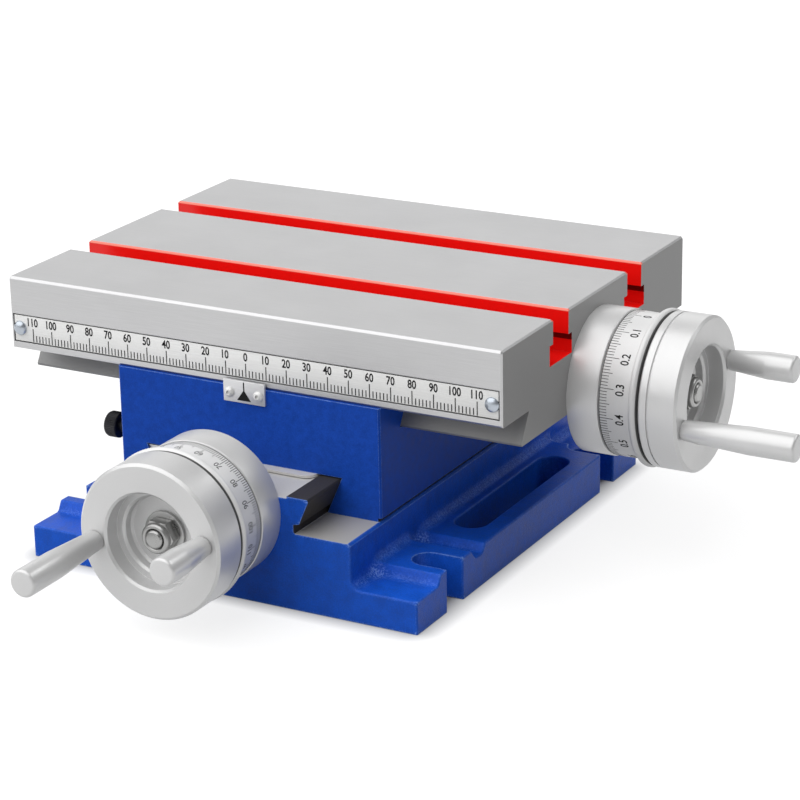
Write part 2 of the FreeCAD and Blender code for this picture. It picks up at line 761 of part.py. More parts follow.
def cross_gib_lock_nuts():
    """Lock nuts on the saddle's left face."""
    face = -BODY_WIDTH / 2
    return group([lock_nut((face, y, CROSS_GIB_Z), (-1, 0, 0)) for y in cross_gib_screw_places()])


def table_gib_screws():
    """Set screws through the saddle's rear cheek onto the table gib."""
    outer = SADDLE_REAR + GIB_SCREW_PROUD
    tip = table_gib_face(TABLE_GIB_Z - GIB_SCREW_RADIUS)
    return group([set_screw((x, outer, TABLE_GIB_Z), (0, -1, 0), outer - tip)
                  for x in table_gib_screw_places()])


def table_gib_lock_nuts():
    """Lock nuts on the saddle's rear face."""
    return group([lock_nut((x, SADDLE_REAR, TABLE_GIB_Z), (0, 1, 0)) for x in table_gib_screw_places()])


def cap_screw(head_radius, head_length, shank_radius, shank_length, socket, edge):
    """Socket cap screw along +Z: the tip at 0, the head's outer face at the far end."""
    total = shank_length + head_length
    tip = shank_radius / 6
    solid = turned([(0, 0), (0, shank_radius - tip), (tip, shank_radius), (shank_length, shank_radius),
                    (shank_length, head_radius - edge / 2), (shank_length + edge / 2, head_radius),
                    (total - edge, head_radius), (total, head_radius - edge), (total, 0)])
    depth = head_length * 0.6
    return solid.cut(hexagon(socket, depth + OVERCUT, (0, 0, total - depth), (0, 0, 1)))


def saddle_lock_screw():
    """Cap screw that clamps the saddle through the cross gib."""
    tip = cross_gib_face(SADDLE_LOCK_Z + LOCK_SCREW_RADIUS) - RUNNING_GAP
    head = -BODY_WIDTH / 2 - SADDLE_LOCK_SHANK
    screw = cap_screw(LOCK_HEAD_RADIUS, LOCK_HEAD_LENGTH, LOCK_SCREW_RADIUS, tip - head, LOCK_SOCKET,
                      LOCK_HEAD_EDGE)
    return aimed(screw, (tip, SADDLE_LOCK_Y, SADDLE_LOCK_Z), (-1, 0, 0))


def table_lock_screw():
    """Cap screw that clamps the table through the table gib."""
    tip = table_gib_face(TABLE_GIB_Z - LOCK_SCREW_RADIUS) + RUNNING_GAP
    head = SADDLE_REAR + TABLE_LOCK_SHANK
    screw = cap_screw(LOCK_HEAD_RADIUS, LOCK_HEAD_LENGTH, LOCK_SCREW_RADIUS, head - tip, LOCK_SOCKET,
                      LOCK_HEAD_EDGE)
    return aimed(screw, (TABLE_LOCK_X, tip, TABLE_GIB_Z), (0, 1, 0))


def feed_nut(axis, centre, low, high, bore_z):
    """Nut block along X or Y with the screw's bore right through."""
    wide = NUT_WIDTH / 2
    long = NUT_LENGTH / 2
    if axis == "y":
        solid = box(-wide, wide, centre - long, centre + long, low, high)
        bore = rod(SCREW_RADIUS + RUNNING_GAP, (0, centre - long, bore_z), (0, 1, 0), NUT_LENGTH)
    else:
        solid = box(-long, long, centre - wide, centre + wide, low, high)
        bore = rod(SCREW_RADIUS + RUNNING_GAP, (-long, centre, bore_z), (1, 0, 0), NUT_LENGTH)
    return solid.cut(bore)


def cross_feed_nut():
    """Bronze nut that hangs from the saddle into the base's trough."""
    high = CROSS_CEILING + CROSS_NUT_POCKET
    solid = feed_nut("y", SADDLE_CENTRE_Y, CROSS_AXIS_Z - NUT_WALL, high, CROSS_AXIS_Z)
    for y in cross_nut_screw_places():
        solid = solid.cut(rod(NUT_SCREW_RADIUS, (0, y, high), (0, 0, -1), NUT_SCREW_BITE + RUNNING_GAP))
    return solid


def table_feed_nut():
    """Bronze nut that stands on the saddle in the table's channel."""
    low = SADDLE_FLOOR - TABLE_NUT_POCKET
    solid = feed_nut("x", SADDLE_CENTRE_Y, low, TABLE_AXIS_Z + NUT_WALL, TABLE_AXIS_Z)
    for x in table_nut_screw_places():
        solid = solid.cut(rod(NUT_SCREW_RADIUS, (x, SADDLE_CENTRE_Y, low), (0, 0, 1),
                              NUT_SCREW_BITE + RUNNING_GAP))
    return solid


def nut_screw(start, direction, grip):
    """Cap screw that holds a feed nut, its head seated at the start point."""
    screw = cap_screw(NUT_SCREW_HEAD, NUT_SCREW_HEAD_LENGTH, NUT_SCREW_RADIUS, grip, NUT_SCREW_SOCKET,
                      NUT_SCREW_HEAD / 10)
    tip = Vector(*start) - Vector(*direction) * grip
    return aimed(screw, (tip.x, tip.y, tip.z), direction)


def cross_feed_nut_screws():
    """Two screws from the saddle's floor down into the cross nut."""
    seat = SADDLE_FLOOR - NUT_SCREW_SINK
    grip = seat - (CROSS_CEILING + CROSS_NUT_POCKET) + NUT_SCREW_BITE
    return group([nut_screw((0, y, seat), (0, 0, 1), grip) for y in cross_nut_screw_places()])


def table_feed_nut_screws():
    """Two screws from the saddle's underside up into the table nut."""
    seat = CROSS_CEILING + NUT_SCREW_SINK
    grip = SADDLE_FLOOR - TABLE_NUT_POCKET - seat + NUT_SCREW_BITE
    return group([nut_screw((x, SADDLE_CENTRE_Y, seat), (0, 0, -1), grip) for x in table_nut_screw_places()])


def index_plate():
    """Pointer plate on the saddle's front, reaching up over the scale."""
    top = SADDLE_TOP_HEIGHT + INDEX_OVERLAP
    half = INDEX_WIDTH / 2
    plate = box(-half, half, SADDLE_FRONT - INDEX_THICKNESS, SADDLE_FRONT, top - INDEX_HEIGHT, top)
    for x in index_screw_places():
        seat = (x, SADDLE_FRONT, INDEX_SCREW_Z)
        plate = plate.cut(rod(INDEX_SCREW_RADIUS + RUNNING_GAP, seat, (0, -1, 0), INDEX_THICKNESS))
    return plate


def index_plate_screws():
    """Two small button head screws."""
    seat = INDEX_SCREW_LENGTH + INDEX_THICKNESS
    end = seat + INDEX_SCREW_HEAD_HEIGHT
    crown = INDEX_SCREW_HEAD * 0.7
    shank = INDEX_SCREW_RADIUS
    depth = INDEX_SCREW_SOCKET_DEPTH
    tip = SADDLE_FRONT + INDEX_SCREW_LENGTH
    screws = []
    for x in index_screw_places():
        solid = turned([(0, 0), (0, shank), (seat, shank), (seat, INDEX_SCREW_HEAD),
                        (seat + INDEX_SCREW_HEAD_HEIGHT / 2, INDEX_SCREW_HEAD), (end, crown), (end, 0)])
        solid = solid.cut(hexagon(INDEX_SCREW_SOCKET, depth, (0, 0, end - depth), (0, 0, 1)))
        screws.append(aimed(solid, (x, tip, INDEX_SCREW_Z), (0, -1, 0)))
    return group(screws)


def countersunk(head_radius, shank_radius, head_height, length):
    """Solid of a countersunk screw along +Z, with its flat face at 0."""
    end = head_height + length
    return turned([(0, 0), (0, head_radius), (head_height, shank_radius), (end, shank_radius), (end, 0)])


def chip_cover():
    """Thin plate under the saddle's front that covers the screw trough."""
    half = COVER_WIDTH / 2
    y0 = SADDLE_FRONT - COVER_REACH
    low = CROSS_CEILING - COVER_THICKNESS
    plate = box(-half, half, y0, y0 + COVER_LENGTH, low, CROSS_CEILING)
    front = [e for e in edges_where(plate, lambda p: close(p.y, y0)) if rise(e) > COVER_THICKNESS / 2]
    plate = plate.makeFillet(COVER_CORNER, front)
    for x in (-COVER_SCREW_X, COVER_SCREW_X):
        hole = countersunk(COVER_SCREW_HEAD + SEAT_FIT, COVER_SCREW_RADIUS, COVER_THICKNESS, OVERCUT)
        plate = plate.cut(aimed(hole, (x, COVER_SCREW_Y, low), (0, 0, 1)))
    return plate


def chip_cover_screws():
    """Two countersunk screws that hold the chip cover."""
    low = CROSS_CEILING - COVER_THICKNESS
    screws = []
    for x in (-COVER_SCREW_X, COVER_SCREW_X):
        screw = countersunk(COVER_SCREW_HEAD, COVER_SCREW_RADIUS, COVER_THICKNESS, COVER_SCREW_LENGTH)
        screws.append(aimed(screw, (x, COVER_SCREW_Y, low), (0, 0, 1)))
    return group(screws)


# Table

def t_slot_places():
    """Y of the two T-slots."""
    return [SADDLE_CENTRE_Y - T_SLOT_SPACING / 2, SADDLE_CENTRE_Y + T_SLOT_SPACING / 2]


def t_slot(y):
    """T-slot cutter along the whole table, with its lips chamfered."""
    neck = T_SLOT_NECK / 2
    wide = T_SLOT_WIDTH / 2
    shoulder = TABLE_TOP - T_SLOT_NECK_DEPTH
    lip = T_SLOT_LIP
    right = [(wide, TABLE_TOP - T_SLOT_DEPTH), (wide, shoulder), (neck, shoulder), (neck, TABLE_TOP - lip),
             (neck + lip + OVERCUT, TABLE_TOP + OVERCUT)]
    left = [(-a, z) for a, z in reversed(right)]
    return prism_x([(y + a, z) for a, z in right + left], -TABLE_END - OVERCUT, TABLE_END + OVERCUT)


def table_outline():
    """Outline of the table across its length: slab and dovetail."""
    c = SADDLE_CENTRE_Y
    e = TABLE_EDGE
    half = TABLE_WIDTH / 2
    low = TABLE_DOVETAIL_BOTTOM
    slab = SADDLE_TOP_HEIGHT
    top = TABLE_TOP
    right = [(table_half_width(low) - e, low), (table_half_width(low + e), low + e),
             (table_half_width(slab), slab), (half - e, slab), (half, slab + e),
             (half, top - e), (half - e, top)]
    left = [(-a, z) for a, z in reversed(right)]
    return [(c + a, z) for a, z in right + left]


def table():
    """Table with its T-slots, dovetail, screw channel, scale rebate and chamfered ends."""
    solid = prism_x(table_outline(), -TABLE_END, TABLE_END)
    ends = [e for e in solid.Edges if close(e.Vertexes[0].Point.x, e.Vertexes[1].Point.x)
            and min(v.Point.z for v in e.Vertexes) > SADDLE_TOP_HEIGHT + TABLE_EDGE / 2]
    solid = solid.makeChamfer(TABLE_END_EDGE, ends)
    for y in t_slot_places():
        solid = solid.cut(t_slot(y))
    half = CHANNEL_WIDTH / 2
    c = SADDLE_CENTRE_Y
    solid = solid.cut(box(-TABLE_END - OVERCUT, TABLE_END + OVERCUT, c - half, c + half,
                          TABLE_DOVETAIL_BOTTOM - OVERCUT, SADDLE_TOP_HEIGHT + CHANNEL_RISE))
    top = TABLE_TOP - SCALE_BELOW_TOP
    reach = SCALE_LENGTH / 2 + SCALE_ROOM
    solid = solid.cut(box(-reach, reach, TABLE_FRONT - OVERCUT, TABLE_FRONT + SCALE_REBATE,
                          top - SCALE_HEIGHT - SCALE_ROOM, top + SCALE_ROOM))
    for x in rivet_places():
        solid = solid.cut(rod(RIVET_SHANK_RADIUS, (x, TABLE_FRONT, rivet_height()), (0, 1, 0),
                              RIVET_SHANK_LENGTH + SCALE_REBATE))
    for hole in housing_bolt_holes(TABLE_SPINDLE, TABLE_BOLT_MIDDLE):
        solid = solid.cut(hole)
    return solid


def rivet_places():
    """X of the two scale rivets."""
    return [-SCALE_LENGTH / 2 + RIVET_INSET, SCALE_LENGTH / 2 - RIVET_INSET]


def rivet_height():
    """Z of the scale rivets."""
    return TABLE_TOP - SCALE_BELOW_TOP - SCALE_HEIGHT / 2


def scale_plate():
    """Graduated plate in the table's front rebate."""
    top = TABLE_TOP - SCALE_BELOW_TOP
    back = TABLE_FRONT + SCALE_REBATE
    plate = box(-SCALE_LENGTH / 2, SCALE_LENGTH / 2, back - SCALE_THICKNESS, back, top - SCALE_HEIGHT, top)
    for x in rivet_places():
        plate = plate.cut(rod(RIVET_SHANK_RADIUS, (x, TABLE_FRONT, rivet_height()), (0, 1, 0), SCALE_REBATE))
    return plate


def scale_rivets():
    """Two dome head rivets through the scale plate."""
    seat = TABLE_FRONT + SCALE_REBATE - SCALE_THICKNESS
    dome = RIVET_DOME
    ball = (RIVET_RADIUS ** 2 + dome ** 2) / (2 * dome)
    rivets = []
    for x in rivet_places():
        head = Part.makeSphere(ball, Vector(0, 0, dome - ball))
        head = head.common(Part.makeCylinder(ball, ball))
        shank = Part.makeCylinder(RIVET_SHANK_RADIUS, RIVET_SHANK_LENGTH, Vector(0, 0, -RIVET_SHANK_LENGTH))
        rivets.append(aimed(head.fuse(shank), (x, seat, rivet_height()), (0, -1, 0)))
    return group(rivets)


# Spindle groups, each made once along +Z and placed at the front and at the table's right end

def bolt_angles(middle):
    """Angles of the three housing bolts about the spindle, in degrees."""
    return [middle - HOUSING_BOLT_SPREAD, middle, middle + HOUSING_BOLT_SPREAD]


def bolt_point(angle, along):
    """Point on the housing's bolt circle in the spindle's frame."""
    a = math.radians(angle)
    return (HOUSING_BOLT_RADIUS * math.cos(a), HOUSING_BOLT_RADIUS * math.sin(a), along)


def housing_bolt_holes(spindle, middle):
    """Tapped holes in the face that carries a housing."""
    return [spindle.put(rod(HOUSING_BOLT_SHANK, bolt_point(a, -HOUSING_BOLT_GRIP - OVERCUT), (0, 0, 1),
                            HOUSING_BOLT_GRIP + 2 * OVERCUT)) for a in bolt_angles(middle)]


def bearing_housing(middle):
    """Round housing with a bush bore, a collar recess behind and three counterbored holes."""
    e = HOUSING_EDGE
    solid = turned([(0, COLLAR_RECESS_RADIUS), (0, HOUSING_RADIUS), (HOUSING_LENGTH - e, HOUSING_RADIUS),
                    (HOUSING_LENGTH, HOUSING_RADIUS - e), (HOUSING_LENGTH, BUSH_RADIUS),
                    (COLLAR_RECESS_DEPTH, BUSH_RADIUS), (COLLAR_RECESS_DEPTH, COLLAR_RECESS_RADIUS)])
    for a in bolt_angles(middle):
        solid = solid.cut(rod(HOUSING_BOLT_SHANK, bolt_point(a, 0), (0, 0, 1), HOUSING_LENGTH))
        sink = rod(HOUSING_BOLT_HEAD + BOLT_HEAD_GAP, bolt_point(a, BOLT_SEAT), (0, 0, 1), HOUSING_LENGTH)
        solid = solid.cut(sink)
    return solid


def housing_screws(middle):
    """Three cap screws that hold a housing."""
    length = BOLT_SEAT + HOUSING_BOLT_GRIP
    screws = []
    for a in bolt_angles(middle):
        screw = cap_screw(HOUSING_BOLT_HEAD, HOUSING_BOLT_HEAD_LENGTH, HOUSING_BOLT_SHANK, length,
                          HOUSING_BOLT_SOCKET, HOUSING_BOLT_HEAD / 10)
        screws.append(aimed(screw, bolt_point(a, -HOUSING_BOLT_GRIP), (0, 0, 1)))
    return group(screws)


def ring(inner, outer, start, length):
    """Plain ring along +Z."""
    return turned([(start, inner), (start, outer), (start + length, outer), (start + length, inner)])


BOLT_SEAT = HOUSING_LENGTH - HOUSING_BOLT_HEAD_LENGTH - HOUSING_BOLT_SINK
HUB_BACK = HOUSING_LENGTH + OUTER_WASHER_THICKNESS + RUNNING_GAP
SEAT_START = HUB_BACK + SEAT_SETBACK
DIAL_BACK = HOUSING_LENGTH + DIAL_GAP
DIAL_FRONT = DIAL_BACK + DIAL_LENGTH
RIM_BACK = DIAL_FRONT + WHEEL_GAP
RIM_FRONT = RIM_BACK + RIM_LENGTH
DISH_STEP = RIM_FRONT - DISH_STEP_DEPTH
DISH_FLOOR = RIM_FRONT - DISH_DEPTH
NUT_START = DISH_FLOOR + WASHER_THICKNESS
SPRING_START = DIAL_BACK + SPRING_SETBACK


def feed_bush():
    """Bush in the housing for the screw's journal."""
    length = HOUSING_LENGTH - COLLAR_RECESS_DEPTH
    return ring(SCREW_RADIUS + RUNNING_GAP, BUSH_RADIUS, COLLAR_RECESS_DEPTH, length)


def inner_thrust_washer():
    """Washer between the screw's collar and the housing."""
    start = COLLAR_RECESS_DEPTH - THRUST_THICKNESS
    outer = COLLAR_RECESS_RADIUS - WASHER_BORE_GAP
    return ring(SCREW_RADIUS + WASHER_BORE_GAP, outer, start, THRUST_THICKNESS)


def outer_thrust_washer():
    """Washer between the housing and the handwheel's hub."""
    return ring(SCREW_RADIUS + WASHER_BORE_GAP, OUTER_WASHER_RADIUS, HOUSING_LENGTH, OUTER_WASHER_THICKNESS)


def key_block(slack=0.0):
    """Key between the screw and the handwheel, or its keyway when slack is given."""
    half = KEY_SIZE / 2 + slack
    start = DISH_FLOOR - KEY_LENGTH - KEY_SETBACK
    low = SEAT_RADIUS - KEY_SIZE / 2
    high = SEAT_RADIUS + KEY_SIZE / 2 + slack
    return box(-half, half, low, high, start, start + KEY_LENGTH)


def feed_screw(inner_end):
    """Feed screw: thread, collar, journal, wheel seat and stud."""
    collar_end = COLLAR_RECESS_DEPTH - THRUST_THICKNESS - RUNNING_GAP
    stud_end = NUT_START + WHEEL_NUT_HEIGHT + STUD_PROUD
    journal_end = SEAT_START - RUNNING_GAP
    seat_end = DISH_FLOOR - SCREW_TIP
    collar_start = collar_end - COLLAR_LENGTH
    points = [(inner_end, 0), (inner_end, SCREW_RADIUS - SCREW_TIP), (inner_end + SCREW_TIP, SCREW_RADIUS),
              (collar_start, SCREW_RADIUS), (collar_start, COLLAR_RADIUS), (collar_end, COLLAR_RADIUS),
              (collar_end, SCREW_RADIUS), (journal_end, SCREW_RADIUS), (journal_end, SEAT_RADIUS),
              (seat_end, SEAT_RADIUS), (seat_end, STUD_RADIUS), (stud_end - STUD_PROUD, STUD_RADIUS),
              (stud_end, STUD_RADIUS - STUD_PROUD), (stud_end, 0)]
    return turned(points).cut(key_block())


def handwheel(groove):
    """Dished handwheel with hub, dial sleeve and two handle holes."""
    e = RIM_EDGE
    sleeve = DIAL_BORE_RADIUS - RUNNING_GAP
    spring_end = SPRING_START + SPRING_WIDTH + 2 * GIB_END_GAP
    groove_floor = sleeve - SPRING_THICKNESS - RUNNING_GAP
    inner = sleeve - SLEEVE_WALL
    bore = SCREW_RADIUS + WASHER_BORE_GAP
    back_edge = DIAL_EDGE
    points = [
        (HUB_BACK, bore), (HUB_BACK, HUB_RADIUS), (RIM_BACK, HUB_RADIUS), (RIM_BACK, inner),
        (DIAL_BACK + SLEEVE_GAP, inner), (DIAL_BACK + SLEEVE_GAP, sleeve),
        (SPRING_START, sleeve), (SPRING_START, groove_floor),
        (spring_end, groove_floor), (spring_end, sleeve),
        (RIM_BACK, sleeve), (RIM_BACK, WHEEL_RADIUS - back_edge), (RIM_BACK + back_edge, WHEEL_RADIUS),
    ]
    if groove:
        g = RIM_BACK + RIM_GROOVE_OFFSET
        floor = WHEEL_RADIUS - RIM_GROOVE_DEPTH
        points += [(g - RIM_GROOVE, WHEEL_RADIUS), (g, floor), (g + RIM_GROOVE, WHEEL_RADIUS)]
    points += rounded_corner(RIM_FRONT, WHEEL_RADIUS, e) + [
        (RIM_FRONT, DISH_RADIUS + DISH_EDGE), (RIM_FRONT - DISH_EDGE, DISH_RADIUS),
        (DISH_STEP, DISH_RADIUS), (DISH_STEP, DISH_INNER_RADIUS + back_edge),
        (DISH_STEP - back_edge, DISH_INNER_RADIUS), (DISH_FLOOR + DISH_CORNER, DISH_INNER_RADIUS),
        (DISH_FLOOR, DISH_INNER_RADIUS - DISH_CORNER), (DISH_FLOOR, SEAT_RADIUS + SEAT_FIT),
        (SEAT_START, SEAT_RADIUS + SEAT_FIT), (SEAT_START, bore),
    ]
    solid = turned(points).cut(key_block(SEAT_FIT))
    for side in (1, -1):
        seat = (side * HANDLE_CIRCLE, 0, RIM_FRONT - HANDLE_SPIGOT_LENGTH)
        solid = solid.cut(rod(HANDLE_SPIGOT_RADIUS, seat, (0, 0, 1), HANDLE_SPIGOT_LENGTH + OVERCUT))
    return solid


def rounded_corner(end, radius, edge):
    """Points round the outer corner of a turned end."""
    return [(end - edge, radius), (end - edge * 0.62, radius - edge * 0.08),
            (end - edge * 0.29, radius - edge * 0.29), (end - edge * 0.08, radius - edge * 0.62),
            (end, radius - edge)]


def handle(length, taper, side):
    """Turned handle with a spigot, slim neck, swelling grip and rounded end."""
    g = HANDLE_SEAT_GROOVE
    neck = HANDLE_NECK_RADIUS
    r = HANDLE_GRIP_RADIUS
    points = [(-HANDLE_SPIGOT_LENGTH, 0), (-HANDLE_SPIGOT_LENGTH, HANDLE_SPIGOT_RADIUS),
              (0, HANDLE_SPIGOT_RADIUS), (0, neck - g / 2), (g, neck - g / 2), (g, neck),
              (taper / 2, (neck + r) / 2), (taper, r)]
    solid = turned(points + rounded_corner(length, r, HANDLE_END_ROUND) + [(length, 0)])
    solid.translate(Vector(side * HANDLE_CIRCLE, 0, RIM_FRONT))
    return solid


def wheel_washer():
    """Plain washer on the dish's floor."""
    return ring(STUD_RADIUS + WASHER_BORE_GAP, WASHER_RADIUS, DISH_FLOOR, WASHER_THICKNESS)


def wheel_nut():
    """Hexagon nut with a round outer face."""
    body = hexagon(WHEEL_NUT_FLATS, WHEEL_NUT_HEIGHT, (0, 0, NUT_START), (0, 0, 1), STUD_RADIUS)
    end = NUT_START + WHEEL_NUT_HEIGHT
    r = WHEEL_NUT_FLATS / 2
    hexagon_end = end - NUT_COLLAR_LENGTH
    wide = WHEEL_NUT_FLATS
    e = NUT_COLLAR_EDGE
    turning = turned([(NUT_START, 0), (NUT_START, wide), (hexagon_end - e, wide), (hexagon_end, r),
                      (end - e, r), (end, r - e), (end, 0)])
    return body.common(turning)


def dial_ring():
    """Graduated ring with a wide rounded flange, free on the handwheel's sleeve."""
    start = DIAL_FRONT - DIAL_FLANGE_LENGTH
    e = DIAL_SWELL
    rise_points = [(2 * start + DIAL_FLANGE_LENGTH - a, r) for a, r in
                   reversed(rounded_corner(DIAL_FRONT, DIAL_FLANGE_RADIUS, e))]
    return turned([(DIAL_BACK, DIAL_BORE_RADIUS), (DIAL_BACK, DIAL_RADIUS - DIAL_EDGE),
                   (DIAL_BACK + DIAL_EDGE, DIAL_RADIUS), (start, DIAL_RADIUS)] + rise_points
                  + rounded_corner(DIAL_FRONT, DIAL_FLANGE_RADIUS, e) + [(DIAL_FRONT, DIAL_BORE_RADIUS)])


def dial_spring():
    """Open spring ring that gives the dial its friction."""
    outer = DIAL_BORE_RADIUS - RUNNING_GAP
    solid = ring(outer - SPRING_THICKNESS, outer, SPRING_START + GIB_END_GAP, SPRING_WIDTH)
    half = math.radians(SPRING_GAP_ANGLE / 2)
    reach = WHEEL_RADIUS
    wedge = Part.makePolygon([Vector(0, 0, 0), Vector(reach * math.cos(half), reach * math.sin(half), 0),
                              Vector(reach * math.cos(half), -reach * math.sin(half), 0), Vector(0, 0, 0)])
    cutter = Part.Face(wedge).extrude(Vector(0, 0, RIM_FRONT))
    return solid.cut(cutter)


def spindle_group(prefix, spindle, screw, bolt_middle, handle_angle, groove):
    """All the pieces of one handwheel spindle, by node name."""
    wheel_pieces = {
        "handwheel": handwheel(groove),
        "long_handle": handle(LONG_HANDLE, LONG_TAPER, -1),
        "short_handle": handle(SHORT_HANDLE, SHORT_TAPER, 1),
        "wheel_key": key_block(),
        "feed_screw": screw,
    }
    for shape in wheel_pieces.values():
        shape.rotate(Vector(0, 0, 0), Vector(0, 0, 1), handle_angle)
    pieces = {
        "bearing_housing": bearing_housing(bolt_middle),
        "housing_screws": housing_screws(bolt_middle),
        "feed_bush": feed_bush(),
        "inner_thrust_washer": inner_thrust_washer(),
        "outer_thrust_washer": outer_thrust_washer(),
        "wheel_washer": wheel_washer(),
        "wheel_nut": wheel_nut(),
        "dial_ring": dial_ring(),
        "dial_spring": dial_spring(),
    }
    pieces.update(wheel_pieces)
    return {prefix + "_" + name: spindle.put(shape) for name, shape in pieces.items()}


CROSS_SPINDLE = Spindle((0, BASE_FRONT, CROSS_AXIS_Z), (0, -1, 0))
TABLE_SPINDLE = Spindle((TABLE_END, SADDLE_CENTRE_Y, TABLE_AXIS_Z), (1, 0, 0))


def model():
    """Every node's shape, by name."""
    cross_screw = feed_screw(-BASE_LENGTH + CROSS_SCREW_SHORT)
    table_screw = feed_screw(-TABLE_LENGTH + TABLE_SCREW_SHORT)
    nodes = {
        "base_casting": base_casting(),
        "saddle_casting": saddle_casting(),
        "table": table(),
        "scale_plate": scale_plate(),
        "scale_rivets": scale_rivets(),
        "index_plate": index_plate(),
        "index_plate_screws": index_plate_screws(),
        "chip_cover": chip_cover(),
        "chip_cover_screws": chip_cover_screws(),
        "cross_gib": cross_gib(),
        "cross_gib_screws": cross_gib_screws(),
        "cross_gib_lock_nuts": cross_gib_lock_nuts(),
        "saddle_lock_screw": saddle_lock_screw(),
        "table_gib": table_gib(),
        "table_gib_screws": table_gib_screws(),
        "table_gib_lock_nuts": table_gib_lock_nuts(),
        "table_lock_screw": table_lock_screw(),
        "cross_feed_nut": cross_feed_nut(),
        "cross_feed_nut_screws": cross_feed_nut_screws(),
        "table_feed_nut": table_feed_nut(),
        "table_feed_nut_screws": table_feed_nut_screws(),
    }
    nodes.update(spindle_group("cross", CROSS_SPINDLE, cross_screw, CROSS_BOLT_MIDDLE, CROSS_HANDLE_ANGLE,
                               False))
    nodes.update(spindle_group("table", TABLE_SPINDLE, table_screw, TABLE_BOLT_MIDDLE, TABLE_HANDLE_ANGLE,
                               True))
    return nodes


def main():
    """Write one STEP file for each node."""
    os.makedirs("parts", exist_ok=True)
    for name, shape in model().items():
        shape.exportStep(os.path.join("parts", name + ".step"))
        print(name, "solids", len(shape.Solids), "valid", shape.isValid(), "volume", round(shape.Volume))


main()
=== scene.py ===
"""Looks of a two-axis cross slide table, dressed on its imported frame.

Sizes are written in millimetres and become metres where a mesh is placed. X runs along the T-slots,
-Y points at the front handwheel and Z is up, as in the frame.
"""

import logging
import math
from dataclasses import dataclass, field
from enum import Enum

import bmesh
import bpy
from mathutils import Matrix, Vector


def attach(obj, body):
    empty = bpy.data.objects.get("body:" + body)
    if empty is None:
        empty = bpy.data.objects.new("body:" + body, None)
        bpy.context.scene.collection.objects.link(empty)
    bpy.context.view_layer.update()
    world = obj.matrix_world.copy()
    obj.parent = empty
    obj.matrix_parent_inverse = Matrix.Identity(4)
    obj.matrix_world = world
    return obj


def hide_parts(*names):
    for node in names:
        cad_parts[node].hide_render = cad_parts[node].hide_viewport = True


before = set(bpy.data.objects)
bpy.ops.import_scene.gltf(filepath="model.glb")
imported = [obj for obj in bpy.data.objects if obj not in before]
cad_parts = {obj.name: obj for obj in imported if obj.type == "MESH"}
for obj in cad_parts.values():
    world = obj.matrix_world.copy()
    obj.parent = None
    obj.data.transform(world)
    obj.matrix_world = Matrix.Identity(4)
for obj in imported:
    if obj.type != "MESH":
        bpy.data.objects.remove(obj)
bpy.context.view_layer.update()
MM = 0.001
FAR = 200.0  # millimetres, past every piece
DIVISIONS = 10  # from one figure of a dial to the next
LOG = logging.getLogger("cross_slide_table")
Socket = bpy.types.NodeSocket
Profile = list[tuple[float, float]]


# Shading

